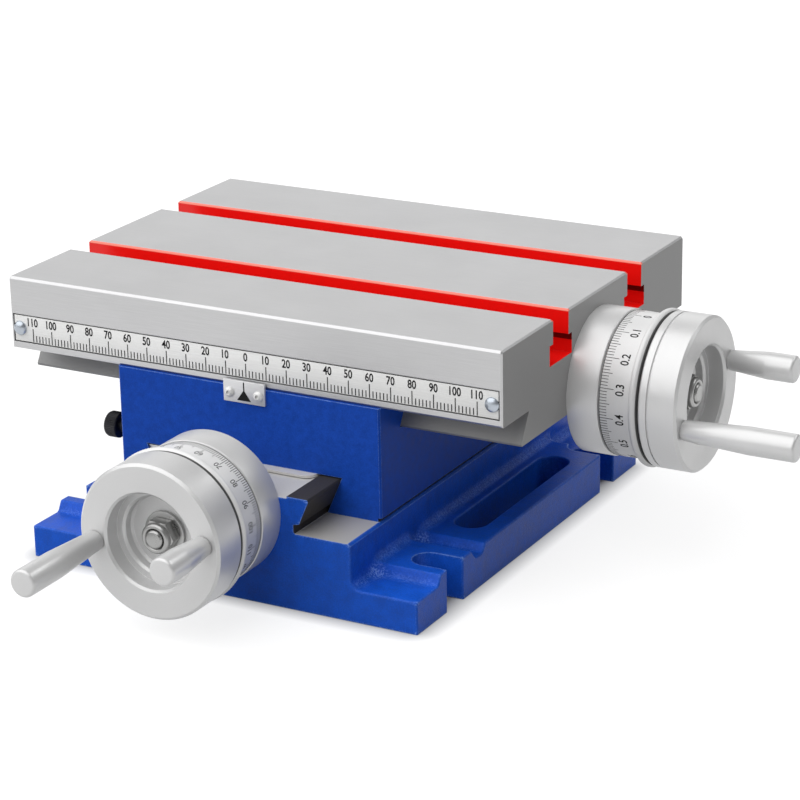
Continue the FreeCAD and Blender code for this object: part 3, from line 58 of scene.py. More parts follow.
class Graph:
    """A node tree with short calls that add, set and join its nodes."""

    def __init__(self, tree: bpy.types.NodeTree) -> None:
        """Keep the tree that the nodes go into."""
        self.tree = tree

    def add(self, kind: str, **settings: object) -> bpy.types.Node:
        """Add a node.

        Args:
            kind: the node's type name.
            settings: properties to set on it.

        Returns:
            The new node.
        """
        node = self.tree.nodes.new(kind)
        for name, value in settings.items():
            setattr(node, name, value)
        return node

    def feed(self, socket: Socket, value: object) -> None:
        """Join a value to a socket, or store it there as a constant.

        Args:
            socket: the input to feed.
            value: another node's output, a number or a vector.
        """
        if isinstance(value, bpy.types.NodeSocket):
            self.tree.links.new(value, socket)
        else:
            socket.default_value = value

    def math(self, operation: str, *values: object, clamp: bool = False) -> Socket:
        """Add a Math node.

        Args:
            operation: the Math node's operation.
            values: numbers or sockets for its inputs.
            clamp: keep the result between 0 and 1.

        Returns:
            The result.
        """
        node = self.add("ShaderNodeMath", operation=operation, use_clamp=clamp)
        for socket, value in zip(node.inputs, values):
            self.feed(socket, value)
        return node.outputs[0]

    def vector(self, operation: str, *values: object) -> bpy.types.Node:
        """Add a Vector Math node.

        Args:
            operation: the node's operation.
            values: vectors or sockets for its inputs.

        Returns:
            The node, because its result is a vector or a number.
        """
        node = self.add("ShaderNodeVectorMath", operation=operation)
        for socket, value in zip(node.inputs, values):
            self.feed(socket, value)
        return node

    def fade(self, value: Socket, low: float, high: float, start: float = 0.0, end: float = 1.0) -> Socket:
        """Map a value from one span to another, clamped.

        Args:
            value: the value to map.
            low: value that gives start.
            high: value that gives end.
            start: lowest result.
            end: highest result.

        Returns:
            The mapped value.
        """
        node = self.add("ShaderNodeMapRange")
        for socket, item in zip(node.inputs, (value, low, high, start, end)):
            self.feed(socket, item)
        return node.outputs[0]

    def blend(self, share: object, first: object, second: object) -> Socket:
        """Mix two colours.

        Args:
            share: how much of the second shows.
            first: colour or socket.
            second: colour or socket.

        Returns:
            The mixed colour.
        """
        node = self.add("ShaderNodeMix", data_type="RGBA")
        for index, value in ((0, share), (6, first), (7, second)):
            self.feed(node.inputs[index], value)
        return node.outputs[2]

    def noise(self, vector: Socket, scale: object, detail: float = 3.0, rough: float = 0.55) -> Socket:
        """Add a noise texture.

        Args:
            vector: place to read it at.
            scale: how fine it is, per metre.
            detail: how many finer layers.
            rough: strength of the finer layers.

        Returns:
            The noise value, about 0.3 to 0.7.
        """
        node = self.add("ShaderNodeTexNoise")
        for name, value in (("Vector", vector), ("Scale", scale), ("Detail", detail), ("Roughness", rough)):
            self.feed(node.inputs[name], value)
        return node.outputs[0]

    def bump(self, height: Socket, depth: object, normal: Socket) -> Socket:
        """Add a Bump node.

        Args:
            height: height value over the surface.
            depth: how deep the height reaches, in metres.
            normal: the normal to bend.

        Returns:
            The bent normal.
        """
        node = self.add("ShaderNodeBump")
        for name, value in (("Height", height), ("Distance", depth), ("Normal", normal)):
            self.feed(node.inputs[name], value)
        return node.outputs[0]


class Effect(Enum):
    """Effects that several finishes share, each built once as a node group."""

    ZONE = "box_zone"
    # Painted highlight along sharp edges, with a normal that rounds them
    WEAR = "painted_edge_highlight"
    GRAIN = "brushed_grain"
    CAST = "cast_paint_texture"
    CREST = "rounded_crest"
    TURNED = "turned_rings"
    SMUDGE = "handling_smudge"


class EffectShelf:
    """Builds each shared node group when it is first asked for, and places it in a material."""

    INPUTS = {
        Effect.ZONE: (("Vector", "Vector"), ("Low", "Vector"), ("High", "Vector")),
        Effect.WEAR: (("Vector", "Vector"), ("Radius", "Float"), ("Gain", "Float")),
        Effect.GRAIN: (("Vector", "Vector"), ("Stretch", "Vector"), ("Depth", "Float"), ("Normal", "Vector")),
        Effect.CAST: (("Vector", "Vector"), ("Scale", "Float"), ("Depth", "Float"), ("Normal", "Vector")),
        Effect.CREST: (("Vector", "Vector"), ("Reach", "Float")),
        Effect.TURNED: (("Vector", "Vector"), ("Fineness", "Float"), ("Depth", "Float"),
                        ("Normal", "Vector")),
        Effect.SMUDGE: (("Vector", "Vector"), ("Scale", "Float")),
    }
    OUTPUTS = {
        Effect.ZONE: (("Mask", "Float"),),
        Effect.WEAR: (("Mask", "Float"), ("Normal", "Vector")),
        Effect.GRAIN: (("Value", "Float"), ("Normal", "Vector")),
        Effect.CAST: (("Value", "Float"), ("Normal", "Vector")),
        Effect.CREST: (("Mask", "Float"),),
        Effect.TURNED: (("Value", "Float"), ("Normal", "Vector")),
        Effect.SMUDGE: (("Value", "Float"),),
    }

    def __init__(self) -> None:
        """Start with no group built."""
        self.groups: dict[Effect, bpy.types.NodeTree] = {}

    def place(self, graph: Graph, effect: Effect, **values: object) -> dict[str, Socket]:
        """Put an effect's group into a material.

        Args:
            graph: the material's node tree.
            effect: which group.
            values: its inputs by name.

        Returns:
            Its outputs by name.
        """
        node = graph.add("ShaderNodeGroup", node_tree=self.group(effect))
        for name, value in values.items():
            graph.feed(node.inputs[name], value)
        return {socket.name: socket for socket in node.outputs}

    def group(self, effect: Effect) -> bpy.types.NodeTree:
        """Give an effect's node group, built on first use.

        Args:
            effect: which group.

        Returns:
            The node group.
        """
        if effect not in self.groups:
            tree = bpy.data.node_groups.new(effect.value, "ShaderNodeTree")
            for side, table in (("INPUT", self.INPUTS), ("OUTPUT", self.OUTPUTS)):
                for name, kind in table[effect]:
                    tree.interface.new_socket(name=name, in_out=side, socket_type="NodeSocket" + kind)
            graph = Graph(tree)
            given = {s.name: s for s in graph.add("NodeGroupInput").outputs}
            made = getattr(self, "build_" + effect.name.lower())(graph, given)
            out = graph.add("NodeGroupOutput")
            for name, socket in made.items():
                graph.feed(out.inputs[name], socket)
            self.groups[effect] = tree
        return self.groups[effect]

    def build_zone(self, graph: Graph, given: dict[str, Socket]) -> dict[str, Socket]:
        """Mask of 1 inside a box.

        Args:
            graph: the group's tree.
            given: the group's inputs.

        Returns:
            The group's outputs.
        """
        above = graph.vector("SUBTRACT", given["Vector"], given["Low"]).outputs[0]
        below = graph.vector("SUBTRACT", given["High"], given["Vector"]).outputs[0]
        parts = graph.add("ShaderNodeSeparateXYZ")
        graph.feed(parts.inputs[0], graph.vector("MINIMUM", above, below).outputs[0])
        across = graph.math("MINIMUM", parts.outputs[0], parts.outputs[1])
        least = graph.math("MINIMUM", across, parts.outputs[2])
        return {"Mask": graph.math("GREATER_THAN", least, 0.0)}

    def build_wear(self, graph: Graph, given: dict[str, Socket]) -> dict[str, Socket]:
        """Painted highlight mask along sharp edges, broken by noise, and a normal that rounds them.

        Args:
            graph: the group's tree.
            given: the group's inputs.

        Returns:
            The group's outputs.
        """
        round_edge = graph.add("ShaderNodeBevel", samples=6)
        graph.feed(round_edge.inputs["Radius"], given["Radius"])
        flat = graph.add("ShaderNodeNewGeometry").outputs["Normal"]
        turn = graph.vector("DOT_PRODUCT", round_edge.outputs[0], flat).outputs["Value"]
        edge = graph.math("MULTIPLY", graph.math("SUBTRACT", 1.0, turn), given["Gain"], clamp=True)
        broken = graph.fade(graph.noise(given["Vector"], 420.0, 4.0), 0.36, 0.60, 0.35, 1.0)
        return {"Mask": graph.math("MULTIPLY", edge, broken, clamp=True), "Normal": round_edge.outputs[0]}

    def build_grain(self, graph: Graph, given: dict[str, Socket]) -> dict[str, Socket]:
        """Fine scratches stretched along one direction.

        Args:
            graph: the group's tree.
            given: the group's inputs.

        Returns:
            The group's outputs.
        """
        place = graph.vector("MULTIPLY", given["Vector"], given["Stretch"]).outputs[0]
        value = graph.noise(place, 1.0, 5.0, 0.65)
        return {"Value": value, "Normal": graph.bump(value, given["Depth"], given["Normal"])}

    def build_cast(self, graph: Graph, given: dict[str, Socket]) -> dict[str, Socket]:
        """Sand-cast skin under paint: a fine peel on a slow unevenness.

        Args:
            graph: the group's tree.
            given: the group's inputs.

        Returns:
            The group's outputs.
        """
        fine = graph.noise(given["Vector"], given["Scale"], 4.0, 0.6)
        slow = graph.noise(given["Vector"], graph.math("MULTIPLY", given["Scale"], 0.12), 2.0)
        value = graph.math("ADD", graph.math("MULTIPLY", fine, 0.65), graph.math("MULTIPLY", slow, 0.5))
        return {"Value": value, "Normal": graph.bump(value, given["Depth"], given["Normal"])}

    def build_crest(self, graph: Graph, given: dict[str, Socket]) -> dict[str, Socket]:
        """Speckled mask along crests and fillets for painted highlights, found from how much metal or wall is
        near.

        Args:
            graph: the group's tree.
            given: the group's inputs.

        Returns:
            The group's outputs.
        """
        near = []
        for inside, far, start, full in ((True, 1.0, 0.64, 0.36), (False, 2.4, 0.86, 0.62)):
            side = graph.add("ShaderNodeAmbientOcclusion", samples=8, inside=inside, only_local=True)
            graph.feed(side.inputs["Distance"], graph.math("MULTIPLY", given["Reach"], far))
            near.append(graph.fade(side.outputs["AO"], start, full))
        broken = graph.fade(graph.noise(given["Vector"], 1300.0, 2.0, 0.4), 0.45, 0.58, 0.08, 1.0)
        return {"Mask": graph.math("MULTIPLY", graph.math("MAXIMUM", *near), broken, clamp=True)}

    def build_turned(self, graph: Graph, given: dict[str, Socket]) -> dict[str, Socket]:
        """Feed marks of a lathe about the Z axis of the given place.

        Args:
            graph: the group's tree.
            given: the group's inputs.

        Returns:
            The group's outputs.
        """
        flat = graph.vector("MULTIPLY", given["Vector"], (1.0, 1.0, 0.0)).outputs[0]
        radius = graph.vector("LENGTH", flat).outputs["Value"]
        parts = graph.add("ShaderNodeSeparateXYZ")
        graph.feed(parts.inputs[0], given["Vector"])
        feed = graph.math("MULTIPLY", graph.math("ADD", radius, parts.outputs[2]), given["Fineness"])
        rings = graph.add("ShaderNodeTexNoise", noise_dimensions="1D")
        graph.feed(rings.inputs["W"], feed)
        graph.feed(rings.inputs["Scale"], 1.0)
        graph.feed(rings.inputs["Detail"], 3.0)
        value = rings.outputs[0]
        return {"Value": value, "Normal": graph.bump(value, given["Depth"], given["Normal"])}

    def build_smudge(self, graph: Graph, given: dict[str, Socket]) -> dict[str, Socket]:
        """Slow uneven gloss left by handling and oil.

        Args:
            graph: the group's tree.
            given: the group's inputs.

        Returns:
            The group's outputs.
        """
        return {"Value": graph.fade(graph.noise(given["Vector"], given["Scale"], 5.0, 0.6), 0.34, 0.66)}


SHELF = EffectShelf()


def rgba(colour: tuple[float, float, float]) -> tuple[float, float, float, float]:
    """Colour with full alpha."""
    return (*colour, 1.0)


def shade(colour: tuple[float, float, float], factor: float) -> tuple[float, float, float]:
    """Colour made darker or lighter, kept under 1."""
    return tuple(min(1.0, c * factor) for c in colour)


@dataclass(frozen=True)
class Zone:
    """Box, in millimetres, inside which a piece has another finish."""

    low: tuple[float, float, float]
    high: tuple[float, float, float]
    colour: tuple[float, float, float]
    metallic: float = 0.0
    roughness: float = 0.3


@dataclass(frozen=True)
class Finish:
    """What every finish shares: a material with one Principled shader and the object's own coordinates."""

    name: str
    colour: tuple[float, float, float]
    roughness: float = 0.4
    metallic: float = 1.0
    specular: float = 0.5
    edge: float = 0.25
    shine: float = 1.25
    zones: tuple[Zone, ...] = ()
    wear: float = 3.0

    def material(self) -> bpy.types.Material:
        """Build the material.

        Returns:
            The material, with its effects joined.
        """
        material = bpy.data.materials.new(self.name)
        material.use_nodes = True
        graph = Graph(material.node_tree)
        shader = material.node_tree.nodes["Principled BSDF"]
        place = graph.add("ShaderNodeTexCoord").outputs["Object"]
        shader.inputs["Metallic"].default_value = self.metallic
        shader.inputs["Specular IOR Level"].default_value = self.specular
        # Painted highlight: sharp edges are drawn lighter, and their normal is rounded
        edge_highlight = SHELF.place(graph, Effect.WEAR, Vector=place, Radius=self.edge * MM, Gain=self.wear)
        self.dress(graph, shader, place, edge_highlight)
        return material

    def dress(self, graph: Graph, shader: bpy.types.Node, place: Socket, edge_highlight: dict[str, Socket]) -> None:
        """Join colour with a painted edge highlight, roughness and normal.

        Args:
            graph: the material's tree.
            shader: the Principled shader.
            place: object coordinates.
            edge_highlight: the painted edge highlight's mask and its rounding normal.
        """
        smudge = SHELF.place(graph, Effect.SMUDGE, Vector=place, Scale=90.0)["Value"]
        tone = graph.blend(smudge, rgba(shade(self.colour, 0.93)), rgba(shade(self.colour, 1.05)))
        # Painted highlight: lighter colour along sharp edges
        tone = graph.blend(edge_highlight["Mask"], tone, rgba(shade(self.colour, self.shine)))
        graph.feed(shader.inputs["Base Color"], tone)
        graph.feed(shader.inputs["Roughness"], graph.fade(smudge, 0.0, 1.0, self.roughness - 0.05,
                                                          self.roughness + 0.06))
        graph.feed(shader.inputs["Normal"], edge_highlight["Normal"])

    def divide(self, graph: Graph, shader: bpy.types.Node, place: Socket, tone: Socket,
               rough: Socket) -> None:
        """Join colour, roughness and metal, changed inside each zone.

        Args:
            graph: the material's tree.
            shader: the Principled shader.
            place: object coordinates.
            tone: colour outside the zones.
            rough: roughness outside the zones.
        """
        metal = None
        for zone in self.zones:
            mask = SHELF.place(graph, Effect.ZONE, Vector=place, Low=Vector(zone.low) * MM,
                               High=Vector(zone.high) * MM)["Mask"]
            tone = graph.blend(mask, tone, rgba(zone.colour))
            rough = graph.fade(mask, 0.0, 1.0, rough, zone.roughness)
            metal = graph.fade(mask, 0.0, 1.0, self.metallic if metal is None else metal, zone.metallic)
        graph.feed(shader.inputs["Base Color"], tone)
        graph.feed(shader.inputs["Roughness"], rough)
        if metal is not None:
            graph.feed(shader.inputs["Metallic"], metal)


@dataclass(frozen=True)
class BrushedFinish(Finish):
    """Ground or brushed metal, with painted zones if it has any."""

    stretch: tuple[float, float, float] = (60.0, 4200.0, 4200.0)
    depth: float = 0.003

    def dress(self, graph: Graph, shader: bpy.types.Node, place: Socket, edge_highlight: dict[str, Socket]) -> None:
        """Join grain, zones and a painted edge highlight.

        Args:
            graph: the material's tree.
            shader: the Principled shader.
            place: object coordinates.
            edge_highlight: the painted edge highlight's mask and its rounding normal.
        """
        grain = SHELF.place(graph, Effect.GRAIN, Vector=place, Stretch=self.stretch, Depth=self.depth * MM,
                            Normal=edge_highlight["Normal"])
        smudge = SHELF.place(graph, Effect.SMUDGE, Vector=place, Scale=25.0)["Value"]
        lines = graph.fade(grain["Value"], 0.3, 0.7)
        tone = graph.blend(lines, rgba(shade(self.colour, 0.92)), rgba(shade(self.colour, 1.06)))
        # Painted highlight: lighter colour along sharp edges
        tone = graph.blend(edge_highlight["Mask"], tone, rgba(shade(self.colour, self.shine)))
        rough = graph.math("ADD", graph.fade(lines, 0.0, 1.0, self.roughness - 0.06, self.roughness + 0.08),
                           graph.fade(smudge, 0.0, 1.0, -0.03, 0.04))
        self.divide(graph, shader, place, tone, rough)
        graph.feed(shader.inputs["Normal"], grain["Normal"])


@dataclass(frozen=True)
class CastingFinish(Finish):
    """Blue paint over a casting, left off where its ways are machined, with painted highlights along its
    edges and fillets.
    """

    peel: float = 1300.0
    depth: float = 0.16
    edge_colour: tuple[float, float, float] = (0.30, 0.50, 0.95)
    reach: float = 2.2

    def dress(self, graph: Graph, shader: bpy.types.Node, place: Socket, edge_highlight: dict[str, Socket]) -> None:
        """Join paint, machined and shaded zones, and painted highlights along edges and fillets.

        Args:
            graph: the material's tree.
            shader: the Principled shader.
            place: object coordinates.
            edge_highlight: the painted edge highlight's mask and its rounding normal.
        """
        cast = SHELF.place(graph, Effect.CAST, Vector=place, Scale=self.peel, Depth=self.depth * MM,
                           Normal=edge_highlight["Normal"])
        crest = SHELF.place(graph, Effect.CREST, Vector=place, Reach=self.reach * MM)["Mask"]
        mottle = graph.fade(cast["Value"], 0.42, 0.72)
        paint = graph.blend(mottle, rgba(shade(self.colour, 0.84)), rgba(shade(self.colour, 1.18)))
        # Painted highlight: light blue along edges and fillets, where the crest and edge masks reach
        rim = graph.math("MAXIMUM", crest, edge_highlight["Mask"])
        paint = graph.blend(graph.math("MULTIPLY", rim, graph.fade(mottle, 0.0, 1.0, 0.55, 1.0)), paint,
                            rgba(self.edge_colour))
        rough = graph.fade(mottle, 0.0, 1.0, self.roughness - 0.05, self.roughness + 0.06)
        self.divide(graph, shader, place, paint, rough)
        graph.feed(shader.inputs["Normal"], cast["Normal"])


@dataclass(frozen=True)
class Spindle:
    """Line of a feed screw, and the frame that its pieces are turned in."""

    origin: tuple[float, float, float]
    outward: tuple[float, float, float]

    def matrix(self) -> Matrix:
        """Place of the spindle's own frame, in metres: Y up, Z outwards from the bolted face.

        Returns:
            The matrix from the spindle's frame to the object's.
        """
        z = Vector(self.outward)
        y = Vector((0.0, 0.0, 1.0))
        x = y.cross(z)
        turn = Matrix((x, y, z)).transposed().to_4x4()
        return Matrix.Translation(Vector(self.origin) * MM) @ turn

    def band(self, start: float, end: float, colour: tuple[float, float, float]) -> Zone:
        """Zone between two distances along the spindle.

        Args:
            start: nearer distance from the bolted face.
            end: farther distance.
            colour: the zone's colour.

        Returns:
            The zone.
        """
        near, far = (Vector(self.origin) + Vector(self.outward) * along for along in (start, end))
        wide = Vector([0.0 if part else FAR for part in self.outward])
        return Zone(tuple(Vector(map(min, near, far)) - wide), tuple(Vector(map(max, near, far)) + wide),
                    colour, 0.3, 0.6)


@dataclass(frozen=True)
class TurnedFinish(Finish):
    """Lathe-turned metal whose rings follow its spindle."""

    spindle: Spindle = Spindle((0.0, 0.0, 0.0), (0.0, -1.0, 0.0))
    fineness: float = 9000.0
    depth: float = 0.004

    def dress(self, graph: Graph, shader: bpy.types.Node, place: Socket, edge_highlight: dict[str, Socket]) -> None:
        """Join turned rings and a painted edge highlight.

        Args:
            graph: the material's tree.
            shader: the Principled shader.
            place: object coordinates.
            edge_highlight: the painted edge highlight's mask and its rounding normal.
        """
        matrix = self.spindle.matrix()
        centred = graph.add("ShaderNodeMapping", vector_type="TEXTURE")
        graph.feed(centred.inputs["Vector"], place)
        centred.inputs["Location"].default_value = matrix.to_translation()
        centred.inputs["Rotation"].default_value = matrix.to_euler()
        turned = SHELF.place(graph, Effect.TURNED, Vector=centred.outputs[0], Fineness=self.fineness,
                             Depth=self.depth * MM, Normal=edge_highlight["Normal"])
        smudge = SHELF.place(graph, Effect.SMUDGE, Vector=place, Scale=60.0)["Value"]
        rings = graph.fade(turned["Value"], 0.3, 0.7)
        tone = graph.blend(rings, rgba(shade(self.colour, 0.95)), rgba(shade(self.colour, 1.04)))
        # Painted highlight: lighter colour along sharp edges
        tone = graph.blend(edge_highlight["Mask"], tone, rgba(shade(self.colour, self.shine)))
        rough = graph.fade(smudge, 0.0, 1.0, self.roughness - 0.05, self.roughness + 0.05)
        self.divide(graph, shader, place, tone, rough)
        graph.feed(shader.inputs["Normal"], turned["Normal"])


# Modelling

class Shape:
    """A mesh that grows by bmesh operators and ends as one piece of the object."""

    def __init__(self) -> None:
        """Start empty."""
        self.bm = bmesh.new()

    def lathe(self, profile: Profile, steps: int = 96, bevel: float = 0.0) -> "Shape":
        """Spin a profile about Z.

        Args:
            profile: (distance along, radius) points in millimetres. It closes on itself unless it
                starts and ends on the axis.
            steps: faces round the turn.
            bevel: width that rounds the profile's corners.

        Returns:
            This shape.
        """
        made = bmesh.new()
        points = [made.verts.new((r, 0.0, a)) for a, r in profile]
        edges = [made.edges.new(pair) for pair in zip(points, points[1:])]
        if profile[0][1] > 0 or profile[-1][1] > 0:
            edges.append(made.edges.new((points[-1], points[0])))
        bmesh.ops.spin(made, geom=points + edges, cent=(0, 0, 0), axis=(0, 0, 1), dvec=(0, 0, 0),
                       angle=math.tau, space=Matrix.Identity(4), steps=steps, use_merge=True)
        bmesh.ops.remove_doubles(made, verts=made.verts, dist=1e-4)
        bmesh.ops.recalc_face_normals(made, faces=made.faces)
        if bevel:
            self.round_off(made, bevel, 2)
        return self.take(made)

    def round_off(self, made: bmesh.types.BMesh, width: float, segments: int, least: float = 25.0) -> None:
        """Bevel the sharp edges of a mesh.

        Args:
            made: the mesh.
            width: bevel width.
            segments: facets across the bevel.
            least: smallest angle, in degrees, that counts as sharp.
        """
        sharp = [e for e in made.edges if len(e.link_faces) == 2
                 and e.calc_face_angle(0.0) > math.radians(least)]
        bmesh.ops.bevel(made, geom=sharp, offset=width, offset_type="OFFSET", segments=segments, profile=0.5,
                        affect="EDGES", material=-1, clamp_overlap=True)

    def take(self, made: bmesh.types.BMesh, matrix: Matrix | None = None) -> "Shape":
        """Join another mesh to this one.

        Args:
            made: the mesh to add, which is then freed.
            matrix: where to put it.

        Returns:
            This shape.
        """
        if matrix is not None:
            bmesh.ops.transform(made, matrix=matrix, verts=made.verts)
        mesh = bpy.data.meshes.new("part")
        made.to_mesh(mesh)
        made.free()
        self.bm.from_mesh(mesh)
        bpy.data.meshes.remove(mesh)
        return self

    def block(self, low: Vector, high: Vector, bevel: float = 0.0) -> "Shape":
        """Add a block between two corners.

        Args:
            low: lowest corner.
            high: highest corner.
            bevel: width that rounds its edges.

        Returns:
            This shape.
        """
        made = bmesh.new()
        bmesh.ops.create_cube(made, size=1.0)
        size = high - low
        bmesh.ops.scale(made, vec=size, verts=made.verts)
        bmesh.ops.translate(made, vec=(low + high) / 2, verts=made.verts)
        if bevel:
            self.round_off(made, bevel, 2)
        return self.take(made)

    def prism(self, flats: float, low: float, high: float, sides: int = 6, bevel: float = 0.0) -> "Shape":
        """Add an upright prism about Z.

        Args:
            flats: width across two opposite sides.
            low: where it starts.
            high: where it ends.
            sides: how many sides.
            bevel: width that rounds its edges.

        Returns:
            This shape.
        """
        made = bmesh.new()
        corner = flats / 2 / math.cos(math.pi / sides)
        bmesh.ops.create_cone(made, cap_ends=True, segments=sides, radius1=corner, radius2=corner,
                              depth=high - low)
        bmesh.ops.translate(made, vec=(0, 0, (low + high) / 2), verts=made.verts)
        if bevel:
            self.round_off(made, bevel, 2)
        return self.take(made)

    def move(self, matrix: Matrix) -> "Shape":
        """Move the whole shape."""
        bmesh.ops.transform(self.bm, matrix=matrix, verts=self.bm.verts)
        return self

    def bend(self, radius: float, start: float) -> "Shape":
        """Wrap a flat layout round a cylinder about Z: X becomes the angle, Y the length and Z the height.

        Args:
            radius: the cylinder's radius.
            start: angle, in radians, where X is 0.

        Returns:
            This shape.
        """
        for v in self.bm.verts:
            angle = start + v.co.x / radius
            reach = radius + v.co.z
            v.co = Vector((reach * math.cos(angle), reach * math.sin(angle), v.co.y))
        bmesh.ops.recalc_face_normals(self.bm, faces=self.bm.faces)
        return self


class Lettering:
    """Generic figures as thin flat meshes."""

    def __init__(self, height: float, squeeze: float = 0.8, thickness: float = 0.06,
                 weight: float = 0.012) -> None:
        """Keep the figures' size.

        Args:
            height: height of a figure.
            squeeze: width against the font's own.
            thickness: how thick they are.
            weight: how far their strokes are widened, against the font's size.
        """
        self.height = height
        self.squeeze = squeeze
        self.thickness = thickness
        self.weight = weight

    def add(self, shape: Shape, text: str, place: Matrix) -> None:
        """Add figures to a shape, centred on a place.

        Args:
            shape: what takes them.
            text: the figures.
            place: their centre and turn.
        """
        curve = bpy.data.curves.new("figures", "FONT")
        curve.body = text
        curve.resolution_u = 3
        curve.extrude = 0.5
        curve.offset = self.weight
        holder = bpy.data.objects.new("figures", curve)
        mesh = bpy.data.meshes.new_from_object(holder)
        bpy.data.objects.remove(holder)
        bpy.data.curves.remove(curve)
        corners = [v.co.copy() for v in mesh.vertices]
        low = Vector([min(c[i] for c in corners) for i in range(3)])
        high = Vector([max(c[i] for c in corners) for i in range(3)])
        size = self.height / (high.y - low.y)
        mesh.transform(place @ Matrix.Diagonal((size * self.squeeze, size, self.thickness, 1.0))
                       @ Matrix.Translation(-(low + high) / 2))
        shape.bm.from_mesh(mesh)
        bpy.data.meshes.remove(mesh)


@dataclass
class Bench:
    """Where finished pieces go: it names them, dresses them and lets them ride on their bodies."""

    made: list[str] = field(default_factory=list)

    def deliver(self, shape: Shape, name: str, body: str, material: bpy.types.Material, slot: str,
                replaces: tuple[str, ...] = (), smooth: float = 32.0) -> bpy.types.Object:
        """Turn a shape into a piece of the object.

        Args:
            shape: the mesh, in millimetres.
            name: the piece's name.
            body: the body that it rides on.
            material: its finish.
            slot: not used.
            replaces: frame nodes that it stands for.
            smooth: angle in degrees under which faces are shaded as one.

        Returns:
            The piece.
        """
        mesh = bpy.data.meshes.new(name)
        shape.move(Matrix.Scale(MM, 4))
        shape.bm.to_mesh(mesh)
        shape.bm.free()
        mesh.polygons.foreach_set("use_smooth", [True] * len(mesh.polygons))
        mesh.set_sharp_from_angle(angle=math.radians(smooth))
        mesh.materials.append(material)
        piece = bpy.data.objects.new(name, mesh)
        bpy.context.scene.collection.objects.link(piece)
        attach(piece, body)
        if replaces:
            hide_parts(*replaces)
        self.made.append(name)
        LOG.info("%s: %d faces on %s", name, len(mesh.polygons), body)
        return piece

    def dress(self, material: bpy.types.Material, *nodes: str) -> None:
        """Give frame nodes a finish.

        Args:
            material: the finish.
            nodes: the nodes' names.
        """
        for node in nodes:
            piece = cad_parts[node]
            piece.data.materials.clear()
            piece.data.materials.append(material)
            LOG.info("%s: dressed in %s", node, material.name)


# Linear colours of the paints and metals, and of the painted shades and highlights on them
ALUMINIUM = (0.71, 0.71, 0.71)
BASE_BLUE = (0.009, 0.094, 0.58)
SADDLE_BLUE = (0.008, 0.064, 0.42)
RED = (0.90, 0.006, 0.004)
# Painted shade high in the T-slot undercuts
UNDERCUT_SHADE_RED = (0.14, 0.001, 0.001)
# Painted highlight along the T-slot lips
LIP_HIGHLIGHT_RED = (0.95, 0.22, 0.16)
BARE_IRON = (0.56, 0.545, 0.52)
# Painted shade on the base's dovetail above its ways, on scraped iron
SHADED_SCRAPED_IRON = (0.062, 0.057, 0.052)
PALE_IRON = (0.66, 0.65, 0.63)
# Painted shade in the groove between a handwheel and its dial
GAP_SHADE_GREY = (0.13, 0.13, 0.13)
# Painted shade along the saddle's foot, over the gap to the base
SHADED_BLUE = (0.002, 0.004, 0.014)
# Painted shade: the table's milled ends and its underside drawn darker than its steel
SHADED_MILLED_END = (0.34, 0.34, 0.34)
SHADED_UNDERSIDE = (0.24, 0.24, 0.24)


@dataclass
class Finishes:
    """Every material that more than one sub-assembly wears."""

    ink: bpy.types.Material = field(init=False)
    bright: bpy.types.Material = field(init=False)
    black: bpy.types.Material = field(init=False)
    bronze: bpy.types.Material = field(init=False)
    steel: bpy.types.Material = field(init=False)

    def __post_init__(self) -> None:
        """Build them."""
        self.ink = Finish("engraved_ink", (0.008, 0.008, 0.009), 0.6, 0.0, 0.2).material()
        self.bright = Finish("bright_steel", (0.38, 0.38, 0.375), 0.30, 1.0, edge=0.12, shine=1.9).material()
        self.black = Finish("black_oxide", (0.022, 0.022, 0.025), 0.42, 0.6).material()
        self.bronze = Finish("bored_bronze", (0.62, 0.42, 0.18), 0.34, 1.0).material()
        self.steel = BrushedFinish("ground_gib_steel", (0.55, 0.55, 0.56), 0.36).material()


@dataclass
class Castings:
    """Base and saddle, painted blue with machined ways, with painted shade on the base's dovetail above its
    ways and along the saddle's foot.
    """

    way: float = 34.46
    way_top: float = 34.65
    way_half: float = 63.6
    sunk_half: float = 35.25
    sunk_span: tuple[float, float] = (49.7, 50.6)
    base_end: float = 109.94
    saddle_inner: tuple[float, float, float, float] = (64.05, -82.05, 102.05, 84.9)
    saddle_foot: float = 36.1
    foot_overlap: float = 0.7

    def dress(self, bench: Bench) -> None:
        """Finish both castings.

        Args:
            bench: where pieces are dressed.
        """
        end = self.base_end
        low, high = self.sunk_span
        machined = (
            Zone((-self.way_half, -end, self.way), (self.way_half, end, FAR), BARE_IRON, 0.25, 0.45),
            # Painted shade: the dovetail above the ways is drawn near black
            Zone((-self.way_half, -end, self.way_top), (self.way_half, end, FAR), SHADED_SCRAPED_IRON, 0.3, 0.5),
            Zone((-self.sunk_half, -end, low), (self.sunk_half, end, high), PALE_IRON, 0.1, 0.5),
        )
        base = CastingFinish("base_paint", BASE_BLUE, 0.36, 0.0, 0.16, 0.7, depth=0.22, reach=2.6,
                             zones=machined, wear=6.0).material()
        half, front, rear, top = self.saddle_inner
        wall = half - self.foot_overlap
        inside = (Zone((-half, front, 0), (half, rear, top), BARE_IRON, 0.4, 0.5),
                  # Painted shade along the saddle's foot, beside the base's ways
                  Zone((-FAR, -FAR, 0), (-wall, FAR, self.saddle_foot), SHADED_BLUE, 0.0, 0.6),
                  Zone((wall, -FAR, 0), (FAR, FAR, self.saddle_foot), SHADED_BLUE, 0.0, 0.6))
        saddle = CastingFinish("saddle_paint", SADDLE_BLUE, 0.50, 0.0, 0.12, 0.4, peel=2200.0, depth=0.02,
                               reach=1.2, zones=inside, wear=6.0).material()
        bench.dress(base, "base_casting")
        bench.dress(saddle, "saddle_casting")


